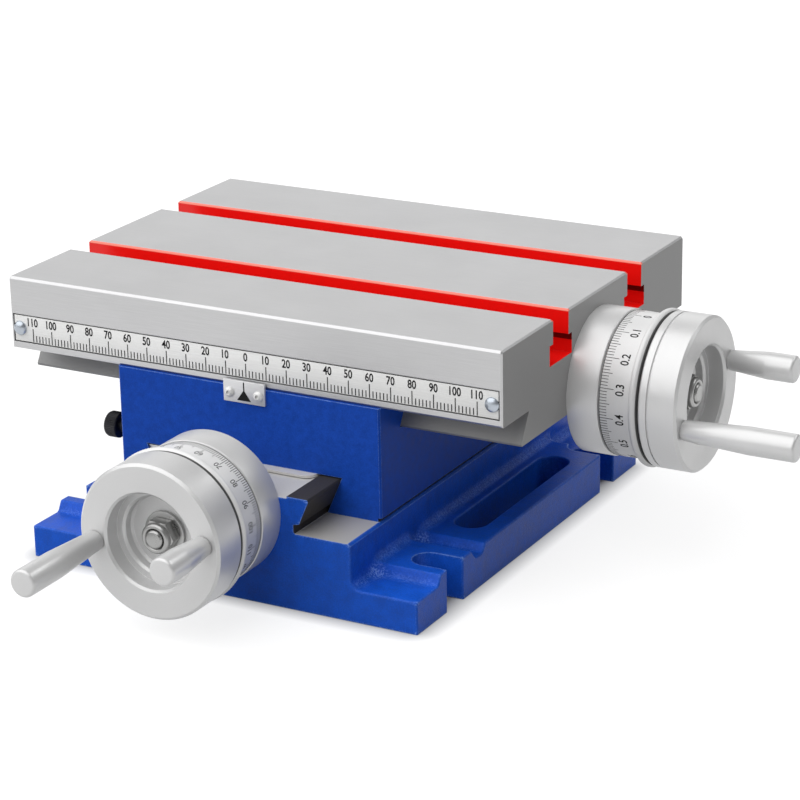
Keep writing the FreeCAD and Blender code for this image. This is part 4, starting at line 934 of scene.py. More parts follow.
@dataclass
class TableTop:
    """Ground table with red T-slots, its graduated scale and rivets."""

    half_length: float = 121.5
    front: float = -82.2
    top: float = 118.0
    slot_places: tuple[float, float] = (-27.5, 47.5)
    neck_half: float = 7.5
    neck_depth: float = 11.0
    undercut_half: float = 10.75
    depth: float = 20.0
    lip: float = 0.8
    lip_reach: float = 1.2
    lip_overlap: float = 0.25
    zone_slack: float = 0.05
    zone_overrun: float = 5.0
    dark_reach: float = 3.4
    slab_bottom: float = 85.0
    plate_back: float = -81.2
    plate_thickness: float = 0.8
    plate_low: float = 88.5
    plate_high: float = 100.9
    plate_half: float = 120.0
    plate_edge: float = 0.08
    label_step: float = 10.0
    labels: int = 11
    parts_per_label: int = 6
    long_tick: float = 6.0
    short_tick: float = 3.0
    tick_foot: float = 89.0
    tick_width: float = 0.46
    outline: float = 0.28
    mark_proud: float = 0.04
    line_proud: float = 0.03
    mark_sunk: float = 0.02
    figure_proud: float = 0.01
    figure_height: float = 3.9
    figure_squeeze: float = 0.78
    figure_weight: float = 0.022
    figure_middle: float = 97.9
    rivet_place: float = 116.8
    rivet_height: float = 94.7
    rivet_radius: float = 3.3
    rivet_dome: float = 1.9

    def build(self, bench: Bench, finishes: Finishes) -> None:
        """Dress the table and make its scale.

        Args:
            bench: where pieces go.
            finishes: the shared materials.
        """
        bench.dress(self.steel(), "table")
        plate = BrushedFinish("scale_plate_satin", (0.93, 0.93, 0.92), 0.45, 0.1, edge=0.1,
                              depth=0.002).material()
        half, face = self.plate_half, self.plate_back - self.plate_thickness
        shape = Shape().block(Vector((-half, face, self.plate_low)),
                              Vector((half, self.plate_back, self.plate_high)), self.plate_edge)
        bench.deliver(shape, "graduated_scale_plate", "table", plate, "scale_silver", ("scale_plate",))
        bench.deliver(self.marks(), "scale_marks", "table", finishes.ink, "scale_silver")
        dome = Finish("rivet_steel", (0.45, 0.49, 0.54), 0.30, 1.0).material()
        bench.deliver(self.rivets(), "scale_rivet_heads", "table", dome, "bright_steel", ("scale_rivets",))

    def steel(self) -> bpy.types.Material:
        """Ground steel with both T-slots painted red inside, painted shade on its ends, underside and slot
        undercuts, and a painted highlight along the slot lips.

        Returns:
            The table's material.
        """
        e = self.zone_slack
        end, reach = self.half_length - e, self.half_length + self.zone_overrun
        shoulder, floor = self.top - self.neck_depth, self.top - self.depth
        # Painted shade: the underside and both ends are drawn darker than the ground steel
        zones = [Zone((-reach, -FAR, 0), (reach, FAR, self.slab_bottom - e), SHADED_UNDERSIDE, 0.5, 0.5),
                 Zone((end, -FAR, 0), (reach, FAR, FAR), SHADED_MILLED_END, 0.15, 0.5),
                 Zone((-reach, -FAR, 0), (-end, FAR, FAR), SHADED_MILLED_END, 0.15, 0.5)]
        for y in self.slot_places:
            neck, wide = self.neck_half + e, self.undercut_half + e
            lip, past = self.top - self.lip, self.lip_reach
            zones.append(Zone((-reach, y - neck, shoulder - e), (reach, y + neck, lip), RED))
            # Painted highlight: a lighter red along each slot's lip
            zones.append(Zone((-reach, y - neck - past, lip - self.lip_overlap),
                              (reach, y + neck + past, self.top - e), LIP_HIGHLIGHT_RED))
            zones.append(Zone((-reach, y - wide, floor - e), (reach, y + wide, shoulder + e), RED))
            # Painted shade: a deep red high in each undercut
            zones.append(Zone((-reach, y - wide, shoulder - self.dark_reach), (reach, y + wide, shoulder + e),
                              UNDERCUT_SHADE_RED))
        return BrushedFinish("ground_table_steel", (0.58, 0.58, 0.585), 0.38, 0.8, edge=0.25,
                             zones=tuple(zones)).material()

    def marks(self) -> Shape:
        """Ticks and figures of the scale, laid on the plate's face, with an ink border round the plate that
        is painted shade of its joint with the table.

        Returns:
            The marks as one shape.
        """
        face = self.plate_back - self.plate_thickness
        shape = Shape()
        pitch = self.label_step / self.parts_per_label
        count = self.labels * self.parts_per_label
        for index in range(-count, count + 1):
            length = self.short_tick if index % self.parts_per_label else self.long_tick
            half = self.tick_width / 2
            x = index * pitch
            shape.block(Vector((x - half, face - self.mark_proud, self.tick_foot)),
                        Vector((x + half, face + self.mark_sunk, self.tick_foot + length)))
        # Painted shade: an ink border round the plate's edge, where it meets the table
        line = self.outline
        low, high, half = self.plate_low, self.plate_high, self.plate_half
        for x0, x1, z0, z1 in ((-half, half, low, low + line), (-half, half, high - line, high),
                               (-half, -half + line, low, high), (half - line, half, low, high)):
            shape.block(Vector((x0, face - self.line_proud, z0)), Vector((x1, face + self.mark_sunk, z1)))
        figures = Lettering(self.figure_height, self.figure_squeeze, weight=self.figure_weight)
        upright = Matrix.Rotation(math.pi / 2, 4, "X")
        for index in range(-self.labels, self.labels + 1):
            place = Vector((index * self.label_step, face - self.figure_proud, self.figure_middle))
            text = str(round(abs(index) * self.label_step))
            figures.add(shape, text, Matrix.Translation(place) @ upright)
        return shape

    def rivets(self) -> Shape:
        """Two domed rivet heads.

        Returns:
            The rivets as one shape.
        """
        face = self.plate_back - self.plate_thickness
        shape = Shape()
        for x in (-self.rivet_place, self.rivet_place):
            profile = [(-0.4, 0.0), (-0.4, self.rivet_radius - 0.3), (0.0, self.rivet_radius)]
            for step in range(1, 9):
                angle = step * math.pi / 16
                profile.append((self.rivet_dome * math.sin(angle), self.rivet_radius * math.cos(angle)))
            profile[-1] = (self.rivet_dome, 0.0)
            head = Shape().lathe(profile, 48)
            out = Spindle((0.0, 0.0, 0.0), (0.0, -1.0, 0.0)).matrix()
            shape.take(head.bm, Matrix.Translation((x, face, self.rivet_height)) @ out)
        return shape


class TextUp(Enum):
    """Which way the top of a dial's figures points along the spindle."""

    INWARD = -1
    OUTWARD = 1


@dataclass
class HandwheelSet:
    """One handwheel spindle: housing, graduated dial, wheel, handles, nut and screw."""

    prefix: str
    spindle: Spindle
    carrier: str
    handle_angle: float
    screw_length: float
    pitch: float
    labels: int
    label_text: str
    first_label: float
    text_up: TextUp
    groove: bool
    figure_middle: float = 24.0
    figure_height: float = 3.9
    figure_weight: float = 0.014
    figure_squeeze: float = 0.80
    mark_lengths: tuple[float, float, float] = (6.4, 4.9, 3.5)
    mark_half: float = 0.12
    mark_line: tuple[float, float] = (0.3, 0.62)
    mark_sunk: float = 0.02
    mark_proud: float = 0.04
    line_proud: float = 0.03
    ink_tone: float = 0.012
    dial_tone: float = 0.74
    housing_radius: float = 32.1
    housing_length: float = 14.2
    housing_bores: tuple[float, float, float] = (13.0, 10.0, 6.5)
    dial_back: float = 14.5
    dial_length: float = 18.1
    dial_radius: float = 31.6
    dial_bore: float = 24.0
    dial_slip: float = 0.06
    flange_radius: float = 34.4
    flange_length: float = 3.8
    knurl_teeth: int = 150
    knurl_depth: float = 0.16
    wheel_back: float = 33.4
    wheel_front: float = 50.7
    wheel_radius: float = 33.85
    rim_edge: float = 1.15
    dish_edge: float = 1.0
    dish_radius: float = 20.8
    dish_step: float = 8.0
    dish_inner: float = 17.0
    dish_depth: float = 13.3
    sleeve_wall: float = 3.6
    sleeve_setback: float = 0.7
    back_edge: float = 0.7
    hub_radius: float = 13.0
    hub_setback: float = 1.06
    hub_counterbore: float = 2.0
    journal: float = 6.0
    bore_gap: float = 0.2
    seat: float = 5.0
    seat_gap: float = 0.05
    stud: float = 4.0
    groove_place: float = 4.0
    groove_widths: tuple[float, float] = (0.25, 0.45)
    groove_depth: float = 0.8
    facets: int = 128
    handle_circle: float = 26.5
    neck: float = 4.4
    grip: float = 6.0
    long_handle: float = 51.0
    short_handle: float = 30.5
    handle_root: float = 3.0
    handle_shoulder: float = 0.8
    handle_gap: float = 0.6
    handle_end: float = 1.3
    taper_share: float = 0.58
    taper_crease: float = 0.2
    washer_radius: float = 9.5
    washer_thickness: float = 1.6
    nut_flats: float = 13.4
    nut_height: float = 7.6
    stud_proud: float = 0.8
    thread_depth: float = 0.7
    thread_start: float = -4.5
    thread_steps: int = 20
    collar: tuple[float, float, float] = (0.65, 5.05, 12.0)
    seat_span: tuple[float, float] = (17.2, 36.4)

    def build(self, bench: Bench, finishes: Finishes) -> None:
        """Make every visible piece of the spindle.

        Args:
            bench: where pieces go.
            finishes: the shared materials.
        """
        turned = TurnedFinish(self.prefix + "_turned_aluminium", ALUMINIUM, 0.38, 0.38, 0.4, edge=0.35,
                              shine=1.4, wear=4.5, spindle=self.spindle).material()
        front = self.dial_back + self.dial_length
        # Painted shade: a dark band where the wheel meets the dial's flange
        gap_shade = self.spindle.band(front - 0.5, front + 0.1, GAP_SHADE_GREY)
        satin = TurnedFinish(self.prefix + "_dial_satin", (self.dial_tone,) * 3, 0.42, 0.15, 0.4, edge=0.3,
                             shine=1.2, spindle=self.spindle, zones=(gap_shade,)).material()
        etched = Finish(self.prefix + "_etched_marks", (self.ink_tone,) * 3, 0.6, 0.0, 0.2).material()
        wheel = self.prefix + "_wheel"
        self.deliver(bench, self.wheel(), "wheel_rim", wheel, turned, "turned_aluminium", "handwheel")
        for name, length, side in (("long", self.long_handle, -1), ("short", self.short_handle, 1)):
            self.deliver(bench, self.handle(length, side), name + "_grip", wheel, turned, "turned_aluminium",
                         name + "_handle")
        for shape, name, node in ((self.washer(), "plain_washer", "wheel_washer"),
                                  (self.nut(), "hex_nut", "wheel_nut"),
                                  (self.screw(), "threaded_screw", "feed_screw")):
            self.deliver(bench, shape, name, wheel, finishes.bright, "bright_steel", node)
        dial = self.prefix + "_dial"
        self.deliver(bench, self.dial(), "graduated_ring", dial, satin, "turned_aluminium", "dial_ring")
        self.deliver(bench, self.dial_marks(), "dial_marks", dial, etched, "turned_aluminium")
        self.deliver(bench, self.housing(), "housing_ring", self.carrier, turned, "turned_aluminium",
                     "bearing_housing")
        bench.dress(finishes.bronze, *[self.prefix + "_" + n for n in
                                       ("feed_bush", "inner_thrust_washer", "outer_thrust_washer")])
        bench.dress(finishes.black, self.prefix + "_housing_screws")
        bench.dress(finishes.bright, self.prefix + "_wheel_key", self.prefix + "_dial_spring")

    def deliver(self, bench: Bench, shape: Shape, name: str, body: str, material: bpy.types.Material,
                slot: str, node: str = "") -> None:
        """Turn a shape from the spindle's frame and hand it over.

        Args:
            bench: where pieces go.
            shape: the shape about Z.
            name: its name without the prefix.
            body: the body that it rides on.
            material: its finish.
            slot: name of a material slot, passed on to the bench.
            node: the frame node that it stands for, without the prefix.
        """
        matrix = self.spindle.matrix()
        matrix.translation /= MM
        shape.move(matrix)
        replaced = (self.prefix + "_" + node,) if node else ()
        bench.deliver(shape, self.prefix + "_" + name, body, material, slot, replaced)

    def wheel(self) -> Shape:
        """Dished wheel with its rim, step, floor, hub and dial sleeve.

        Returns:
            The wheel.
        """
        back, front, rim = self.wheel_back, self.wheel_front, self.wheel_radius
        sleeve = self.dial_bore - self.dial_slip
        inner = sleeve - self.sleeve_wall
        sleeve_end = self.dial_back + self.sleeve_setback
        step, floor = front - self.dish_step, front - self.dish_depth
        hub = self.housing_length + self.hub_setback
        bore, seat = self.journal + self.bore_gap, self.seat + self.seat_gap
        profile = [(hub, bore), (hub, self.hub_radius), (back, self.hub_radius), (back, inner),
                   (sleeve_end, inner), (sleeve_end, sleeve), (back, sleeve), (back, rim - self.back_edge),
                   (back + self.back_edge, rim)]
        if self.groove:
            g, (low, high) = back + self.groove_place, self.groove_widths
            deep = rim - self.groove_depth
            profile += [(g - high, rim), (g - low, deep), (g + low, deep), (g + high, rim)]
        e, c, dish, bowl = self.rim_edge, self.dish_edge, self.dish_radius, self.dish_inner
        relief = hub + self.hub_counterbore
        profile += [(front - e, rim), (front, rim - e), (front, dish + c), (front - c, dish), (step, dish),
                    (step, bowl + c), (step - c, bowl), (floor + c, bowl), (floor, bowl - c),
                    (floor, seat), (relief, seat), (relief, bore)]
        shape = Shape().lathe(profile, self.facets)
        return shape.move(Matrix.Rotation(math.radians(self.handle_angle), 4, "Z"))

    def handle(self, length: float, side: int) -> Shape:
        """Turned handle on the wheel's face.

        Args:
            length: how far it stands out.
            side: 1 or -1, which end of the wheel's diameter.

        Returns:
            The handle.
        """
        front, n, g, e = self.wheel_front, self.neck, self.grip, self.handle_end
        taper = length * self.taper_share
        crease = self.taper_crease
        slope = (g - n) / taper
        foot, root, gap = self.handle_root, n - self.handle_shoulder, self.handle_gap
        profile = [(-foot, 0.0), (-foot, root), (gap, root), (gap, n - 0.1), (gap + crease, n),
                   (taper - crease, g - crease * slope), (taper, g), (taper + crease, g), (length - e, g)]
        for k in range(1, 7):
            turn = k * math.pi / 12
            profile.append((length - e + e * math.sin(turn), g - e + e * math.cos(turn)))
        profile.append((length, 0.0))
        place = Matrix.Translation((side * self.handle_circle, 0, front))
        shape = Shape().lathe(profile, 48).move(place)
        return shape.move(Matrix.Rotation(math.radians(self.handle_angle), 4, "Z"))

    def washer(self) -> Shape:
        """Washer on the dish's floor.

        Returns:
            The washer.
        """
        low = self.wheel_front - self.dish_depth
        high = low + self.washer_thickness
        return Shape().lathe([(low, self.stud + 0.2), (low, self.washer_radius), (high, self.washer_radius),
                              (high, self.stud + 0.2)], 64, 0.25)

    def nut(self) -> Shape:
        """Hexagon nut with a turned collar at its outer end.

        Returns:
            The nut.
        """
        low = self.wheel_front - self.dish_depth + self.washer_thickness
        high = low + self.nut_height
        bore = self.stud + 0.12
        r = self.nut_flats / 2
        shape = Shape()
        body = Shape().prism(self.nut_flats, low, high - 2.4, bevel=0.3)
        shape.take(body.bm)
        shape.lathe([(high - 3.2, bore), (high - 3.2, r - 0.1), (high - 0.8, r - 0.1), (high, r - 0.9),
                     (high, bore + 0.7), (high - 0.7, bore)], 48, 0.2)
        return shape.move(Matrix.Rotation(math.radians(self.handle_angle + 20), 4, "Z"))

    def screw(self) -> Shape:
        """Feed screw with its thread, collar, journal and stud.

        Returns:
            The screw.
        """
        r, d = self.journal, self.thread_depth
        end = -self.screw_length
        run = self.thread_start
        tip = self.wheel_front - self.dish_depth + self.washer_thickness + self.nut_height + self.stud_proud
        shape = Shape()
        low, high, wide = self.collar
        shoulder, seat_end = self.seat_span
        shape.lathe([(end, 0.0), (end, r - d - 0.4), (end + 0.4, r - d), (run, r - d), (run, r), (low, r),
                     (low, wide), (high, wide), (high, r), (shoulder, r), (shoulder, self.seat),
                     (seat_end, self.seat), (seat_end, self.stud), (tip - 0.7, self.stud),
                     (tip, self.stud - 0.7), (tip, 0.0)], 48, 0.12)
        turns = int((run - end - 1.5) / self.pitch)
        steps = self.thread_steps
        made = bmesh.new()
        start = end + 1.0
        width = self.pitch * 0.5
        foot, crest = width * 0.9, width * 0.4
        ring = [made.verts.new((reach, 0, start + along)) for reach, along in
                ((r - d - 0.1, -foot), (r, -crest), (r, crest), (r - d - 0.1, foot))]
        edges = [made.edges.new(pair) for pair in zip(ring, ring[1:])]
        bmesh.ops.spin(made, geom=ring + edges, cent=(0, 0, 0), axis=(0, 0, 1),
                       dvec=(0, 0, self.pitch / steps), angle=math.tau * turns, space=Matrix.Identity(4),
                       steps=steps * turns, use_merge=False)
        return shape.take(made)

    def dial(self) -> Shape:
        """Dial ring with a rounded flange that is finely knurled.

        Returns:
            The dial.
        """
        back, front = self.dial_back, self.dial_back + self.dial_length
        r, f = self.dial_radius, self.flange_radius
        start = front - self.flange_length
        profile = [(back, self.dial_bore), (back, r - 0.3), (back + 0.3, r), (start - 0.6, r),
                   (start - 0.2, r + 0.3), (start, f - 1.4), (start + 0.3, f - 0.7),
                   (start + 0.8, f - 0.25), (start + 1.3, f), (front - 1.5, f), (front - 0.9, f - 0.4),
                   (front - 0.4, f - 1.1), (front, f - 2.2), (front, self.dial_bore)]
        shape = Shape().lathe(profile, self.knurl_teeth * 2)
        for v in shape.bm.verts:
            reach = math.hypot(v.co.x, v.co.y)
            tooth = round(math.atan2(v.co.y, v.co.x) / math.tau * self.knurl_teeth * 2) % 2
            if reach > f - 0.1 and tooth:
                v.co.xy *= (reach - self.knurl_depth) / reach
        return shape

    def dial_marks(self) -> Shape:
        """Divisions and figures round the dial.

        Returns:
            The marks as one shape.
        """
        shape = Shape()
        count = self.labels * DIVISIONS
        step = math.tau * self.dial_radius / count
        foot, line = (self.dial_back + v for v in self.mark_line)
        tens, fives, ones = self.mark_lengths
        wide, sunk = self.mark_half, -self.mark_sunk
        for index in range(count):
            length = tens if index % DIVISIONS == 0 else fives if index % (DIVISIONS // 2) == 0 else ones
            x = index * step
            shape.block(Vector((x - wide, foot, sunk)), Vector((x + wide, foot + length, self.mark_proud)))
            shape.block(Vector((x - step / 2, foot, sunk)), Vector((x + step / 2, line, self.line_proud)))
        figures = Lettering(self.figure_height, self.figure_squeeze, weight=self.figure_weight)
        sense = -1 if self.text_up is TextUp.OUTWARD else 1
        flip = Matrix.Rotation(0.0 if self.text_up is TextUp.OUTWARD else math.pi, 4, "Z")
        for index in range(self.labels):
            text = self.label_text.format(index / 10, index * 10) if index else "0"
            place = Matrix.Translation((sense * index * step * DIVISIONS, self.figure_middle, 0.01))
            figures.add(shape, text, place @ flip)
        return shape.bend(self.dial_radius, math.radians(self.first_label))

    def housing(self) -> Shape:
        """Round housing with a rounded outer corner and an open bore.

        Returns:
            The housing.
        """
        length, r = self.housing_length, self.housing_radius
        wide, narrow, depth = self.housing_bores
        return Shape().lathe([(0.0, wide), (0.0, r), (length - 0.7, r), (length - 0.2, r - 0.2),
                              (length, r - 0.7), (length, narrow), (depth, narrow), (depth, wide)],
                             self.facets)


@dataclass
class SaddleFittings:
    """Index plate, chip cover, gib adjusters, lock screws and nuts that the saddle carries."""

    front: float = -83.0
    plate_half: float = 10.2
    plate_low: float = 77.9
    plate_high: float = 87.7
    plate_thickness: float = 1.2
    screw_place: float = 7.2
    screw_height: float = 82.1
    lock_radius: float = 5.9
    lock_length: float = 6.4
    lock_place: tuple[float, float, float] = (-82.0, -58.0, 46.5)
    table_lock_place: tuple[float, float, float] = (0.0, 112.0, 78.2)
    lock_shank: float = 34.0
    table_lock_shank: float = 26.5
    lock_teeth: int = 44
    lock_knurl: float = 0.28
    pointer_size: tuple[float, float] = (6.9, 4.8)
    pointer_foot: float = 79.0
    pointer_line: tuple[float, float, float] = (0.3, 83.4, 87.3)

    def build(self, bench: Bench, finishes: Finishes) -> None:
        """Make and dress the fittings.

        Args:
            bench: where pieces go.
            finishes: the shared materials.
        """
        satin = BrushedFinish("index_plate_satin", (0.74, 0.74, 0.75), 0.42, 0.5, edge=0.15,
                              depth=0.002).material()
        face = self.front - self.plate_thickness
        plate = Shape().block(Vector((-self.plate_half, face, self.plate_low)),
                              Vector((self.plate_half, self.front, self.plate_high)), 0.15)
        bench.deliver(plate, "pointer_plate", "saddle", satin, "scale_silver", ("index_plate",))
        bench.deliver(self.pointer(face), "pointer_mark", "saddle", finishes.ink, "scale_silver")
        pale = Finish("zinc_plated_button", (0.80, 0.80, 0.79), 0.42, 0.3).material()
        bench.deliver(self.button_screws(face), "pointer_plate_screws", "saddle", pale, "bright_steel",
                      ("index_plate_screws",))
        for body, place, outward, shank in (
                ("saddle_lock", self.lock_place, (-1.0, 0.0, 0.0), self.lock_shank),
                ("table_lock", self.table_lock_place, (0.0, 1.0, 0.0), self.table_lock_shank)):
            self.lock(bench, finishes, body, place, outward, shank)
        cover = BrushedFinish("cover_sheet_steel", (0.74, 0.72, 0.67), 0.40, 0.1, edge=0.2,
                              stretch=(60.0, 1500.0, 1500.0), depth=0.002).material()
        bench.dress(cover, "chip_cover")
        bench.dress(finishes.bright, "chip_cover_screws", "cross_gib_lock_nuts", "table_gib_lock_nuts")
        bench.dress(finishes.black, "cross_gib_screws", "table_gib_screws", "cross_feed_nut_screws",
                    "table_feed_nut_screws")
        bench.dress(finishes.steel, "cross_gib", "table_gib")
        bench.dress(finishes.bronze, "cross_feed_nut", "table_feed_nut")

    def pointer(self, face: float) -> Shape:
        """Black triangle and line on the index plate.

        Args:
            face: where the plate's front is.

        Returns:
            The pointer.
        """
        shape = Shape()
        made = bmesh.new()
        bmesh.ops.create_circle(made, cap_ends=True, segments=3, radius=1.0)
        faces = bmesh.ops.extrude_face_region(made, geom=made.faces[:])
        bmesh.ops.translate(made, vec=(0, 0, 0.06),
                            verts=[v for v in faces["geom"] if isinstance(v, bmesh.types.BMVert)])
        low = Vector([min(v.co[i] for v in made.verts) for i in range(3)])
        high = Vector([max(v.co[i] for v in made.verts) for i in range(3)])
        bmesh.ops.translate(made, vec=(-(low.x + high.x) / 2, -low.y, 0), verts=made.verts)
        wide, tall = self.pointer_size
        bmesh.ops.scale(made, vec=(wide / (high.x - low.x), tall / (high.y - low.y), 1), verts=made.verts)
        bmesh.ops.recalc_face_normals(made, faces=made.faces)
        upright = Matrix.Rotation(math.pi / 2, 4, "X")
        shape.take(made, Matrix.Translation((0, face + 0.02, self.pointer_foot)) @ upright)
        half, start, end = self.pointer_line
        return shape.block(Vector((-half, face - 0.04, start)), Vector((half, face + 0.02, end)))

    def button_screws(self, face: float) -> Shape:
        """Two button head screws with hexagon sockets.

        Args:
            face: where the plate's front is.

        Returns:
            The screws.
        """
        shape = Shape()
        for x in (-self.screw_place, self.screw_place):
            head = Shape().lathe([(-1.0, 0.0), (-1.0, 1.1), (0.0, 1.1), (0.0, 2.3), (0.45, 2.3), (0.9, 2.0),
                                  (1.25, 1.5), (1.4, 1.0), (1.4, 0.85), (0.6, 0.8), (0.6, 0.0)], 32)
            turn = Matrix.Rotation(math.pi / 2, 4, "X")
            shape.take(head.bm, Matrix.Translation((x, face, self.screw_height)) @ turn)
        return shape

    def lock(self, bench: Bench, finishes: Finishes, body: str, place: tuple[float, float, float],
             outward: tuple[float, float, float], shank: float) -> None:
        """Socket cap screw with a knurled head.

        Args:
            bench: where pieces go.
            finishes: the shared materials.
            body: the lock screw's body, which also names its node.
            place: middle of the head's inner face.
            outward: direction that the head points.
            shank: length of the shank behind the head.
        """
        r, h = self.lock_radius, self.lock_length
        teeth = self.lock_teeth
        head = Shape().lathe([(-shank, 0.0), (-shank, 2.5), (-shank + 0.5, 3.0), (0.0, 3.0), (0.0, r - 0.5),
                              (0.5, r), (h - 1.0, r), (h - 0.9, r - 0.25), (h - 0.3, r - 0.4), (h, r - 0.8),
                              (h, 3.1), (h - 0.3, 2.75), (h - 3.4, 2.7), (h - 3.8, 0.0)], teeth * 2)
        for v in head.bm.verts:
            reach = math.hypot(v.co.x, v.co.y)
            tooth = round(math.atan2(v.co.y, v.co.x) / math.tau * teeth * 2) % 2
            if reach > r - 0.1 and tooth:
                v.co.xy *= (reach - self.lock_knurl) / reach
        turn = Spindle((0.0, 0.0, 0.0), outward).matrix()
        head.move(Matrix.Translation(place) @ turn)
        bench.deliver(head, body + "_cap_screw", body, finishes.black, "black_oxide", (body + "_screw",))


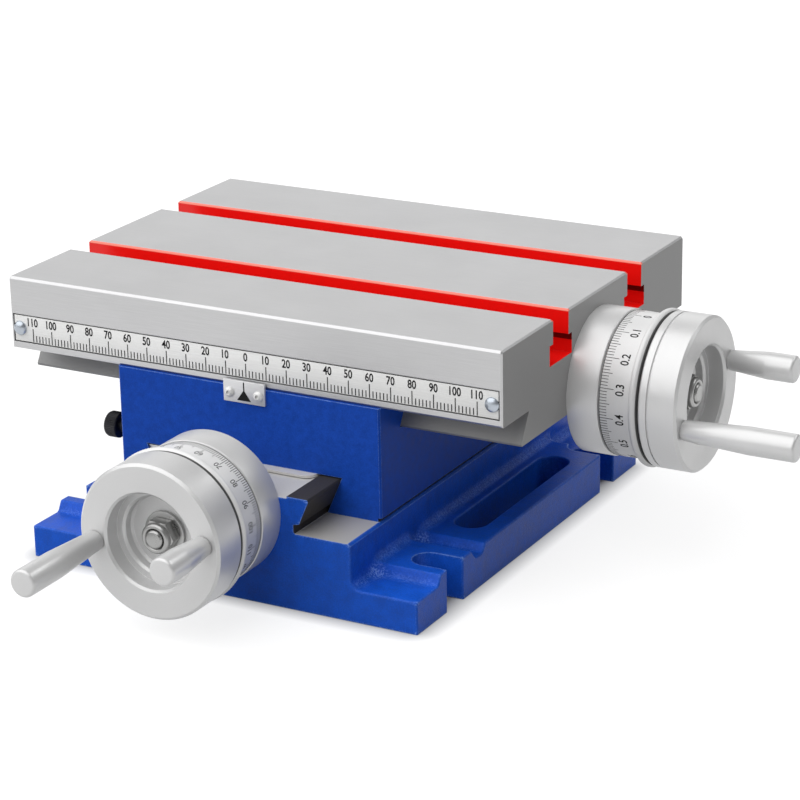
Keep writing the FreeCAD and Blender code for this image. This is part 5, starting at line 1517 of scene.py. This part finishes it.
@dataclass
class Studio:
    """Floor, lamps, world and camera."""

    azimuth: float = 28.96
    elevation: float = 19.50
    roll: float = 1.08
    camera: tuple[float, float, float] = (590.5, -1014.7, 467.7)
    lens: float = 123.75
    floor_half: float = 6.0
    footprint: tuple[float, float, float] = (0.090, 0.104, 0.0)
    shadow_reach: float = 0.015
    floor_white: float = 0.80
    floor_contact: float = 0.02
    floor_grey: float = 0.30
    floor_drop: float = 0.0003
    sky: float = 0.31
    sun_strength: float = 2.65
    sun_spread: float = 90.0
    sun_place: tuple[float, float, float] = (-0.68, -0.72, 1.30)
    lamp_aim: tuple[float, float, float] = (0.0, 0.0, 0.06)
    area_lamps: tuple[tuple[str, float, float, float, tuple[float, float, float]], ...] = (
        ("back_panel", 2.4, 1.2, 7.0, (-0.8, 1.9, 1.0)),
        ("edge_strip", 1.5, 0.45, 7.0, (1.1, 1.1, 1.6)))

    def build(self) -> None:
        """Set up the picture."""
        scene = bpy.context.scene
        scene.view_settings.view_transform = "Standard"
        self.floor()
        self.world(scene)
        self.lamps()
        self.aim(scene)

    def floor(self) -> None:
        """Pale floor that keeps the object's shadow, is white to the camera and is drawn darker round the
        base as a painted contact shadow.
        """
        made = bmesh.new()
        bmesh.ops.create_grid(made, x_segments=1, y_segments=1, size=self.floor_half)
        mesh = bpy.data.meshes.new("studio_floor")
        made.to_mesh(mesh)
        made.free()
        floor = bpy.data.objects.new("studio_floor", mesh)
        floor.location.z = -self.floor_drop
        bpy.context.scene.collection.objects.link(floor)
        material = bpy.data.materials.new("pale_floor")
        material.use_nodes = True
        graph = Graph(material.node_tree)
        nodes = material.node_tree.nodes
        shader = nodes["Principled BSDF"]
        shader.inputs["Base Color"].default_value = rgba((self.floor_grey,) * 3)
        shader.inputs["Roughness"].default_value = 0.9
        shader.inputs["Specular IOR Level"].default_value = 0.0
        glow = graph.add("ShaderNodeEmission")
        graph.feed(glow.inputs["Strength"], self.floor_glow(graph))
        both = graph.add("ShaderNodeAddShader")
        mix = graph.add("ShaderNodeMixShader")
        path = graph.add("ShaderNodeLightPath")
        seen = graph.math("MAXIMUM", path.outputs["Is Camera Ray"], path.outputs["Is Glossy Ray"])
        seen = graph.math("MAXIMUM", seen, path.outputs["Is Transmission Ray"])
        graph.feed(both.inputs[0], shader.outputs[0])
        graph.feed(both.inputs[1], glow.outputs[0])
        graph.feed(mix.inputs[0], seen)
        graph.feed(mix.inputs[1], shader.outputs[0])
        graph.feed(mix.inputs[2], both.outputs[0])
        graph.feed(nodes["Material Output"].inputs["Surface"], mix.outputs[0])
        mesh.materials.append(material)

    def floor_glow(self, graph: Graph) -> Socket:
        """Strength of the floor's white, less within a short way of the base: a painted contact shadow round
        its footprint, over the real shadow that the floor keeps.

        Args:
            graph: the floor material's tree.

        Returns:
            The strength.
        """
        place = graph.add("ShaderNodeTexCoord").outputs["Object"]
        mirrored = graph.vector("ABSOLUTE", place).outputs[0]
        outside = graph.vector("SUBTRACT", mirrored, self.footprint).outputs[0]
        outside = graph.vector("MAXIMUM", outside, (0.0, 0.0, 0.0)).outputs[0]
        flat = graph.vector("MULTIPLY", outside, (1.0, 1.0, 0.0)).outputs[0]
        away = graph.vector("LENGTH", flat).outputs["Value"]
        return graph.fade(away, 0.0, self.shadow_reach, self.floor_contact, self.floor_white)

    def world(self, scene: bpy.types.Scene) -> None:
        """Even grey sky that fills the shadows.

        Args:
            scene: the scene.
        """
        world = bpy.data.worlds.new("studio")
        world.use_nodes = True
        sky = world.node_tree.nodes["Background"]
        sky.inputs["Color"].default_value = rgba((1.0, 1.0, 1.0))
        sky.inputs["Strength"].default_value = self.sky
        scene.world = world

    def lamps(self) -> None:
        """Soft sun at the upper left front, a panel that the top mirrors and a strip for the edges."""
        sun = bpy.data.lights.new("key", "SUN")
        sun.energy = self.sun_strength
        sun.angle = math.radians(self.sun_spread)
        self.hang(sun, self.sun_place)
        for name, wide, high, watts, place in self.area_lamps:
            lamp = bpy.data.lights.new(name, "AREA")
            lamp.shape = "RECTANGLE"
            lamp.size, lamp.size_y = wide, high
            lamp.energy = watts
            self.hang(lamp, place)

    def hang(self, lamp: bpy.types.Light, place: tuple[float, float, float]) -> None:
        """Hang a lamp so that it points at the object.

        Args:
            lamp: the lamp.
            place: where it hangs, in metres.
        """
        holder = bpy.data.objects.new(lamp.name, lamp)
        holder.location = place
        ahead = Vector(self.lamp_aim) - Vector(place)
        holder.rotation_euler = ahead.to_track_quat("-Z", "Y").to_euler()
        bpy.context.scene.collection.objects.link(holder)

    def aim(self, scene: bpy.types.Scene) -> None:
        """Put the camera where the photograph was taken from.

        Args:
            scene: the scene.
        """
        data = bpy.data.cameras.new("camera")
        data.sensor_width = 36.0
        data.lens = self.lens
        data.clip_start, data.clip_end = 0.05, 50.0
        camera = bpy.data.objects.new("camera", data)
        a, e, r = (math.radians(v) for v in (self.azimuth, self.elevation, self.roll))
        ahead = Vector((-math.sin(a) * math.cos(e), math.cos(a) * math.cos(e), -math.sin(e)))
        level = Vector((math.cos(a), math.sin(a), 0.0))
        drop = ahead.cross(level)
        right = level * math.cos(r) + drop * math.sin(r)
        down = -level * math.sin(r) + drop * math.cos(r)
        turn = Matrix((right, -down, -ahead)).transposed().to_4x4()
        camera.matrix_world = Matrix.Translation(Vector(self.camera) * MM) @ turn
        scene.collection.objects.link(camera)
        scene.camera = camera


def main() -> None:
    """Build the sub-assemblies in order and set up the studio."""
    logging.basicConfig(level=logging.INFO, format="%(message)s")
    bench = Bench()
    finishes = Finishes()
    Studio().build()
    Castings().dress(bench)
    TableTop().build(bench, finishes)
    SaddleFittings().build(bench, finishes)
    # The front dial's satin is given a lighter tone than the side dial's: painted light on the same metal
    HandwheelSet("cross", Spindle((0.0, -110.0, 42.3), (0.0, -1.0, 0.0)), carrier="base", handle_angle=7.5,
                 screw_length=202.0, pitch=2.0, labels=20, label_text="{1}", first_label=184.0,
                 text_up=TextUp.OUTWARD, groove=False, figure_middle=22.6, figure_height=3.1,
                 figure_weight=0.002, ink_tone=0.085, dial_tone=0.86).build(bench, finishes)
    HandwheelSet("table", Spindle((121.5, 10.0, 78.4), (1.0, 0.0, 0.0)), carrier="table", handle_angle=17.0,
                 screw_length=233.5, pitch=1.5, labels=15, label_text="{0}", first_label=94.5,
                 text_up=TextUp.INWARD, groove=True).build(bench, finishes)
    LOG.info("%d pieces made", len(bench.made))


if __name__ == "__main__":
    main()
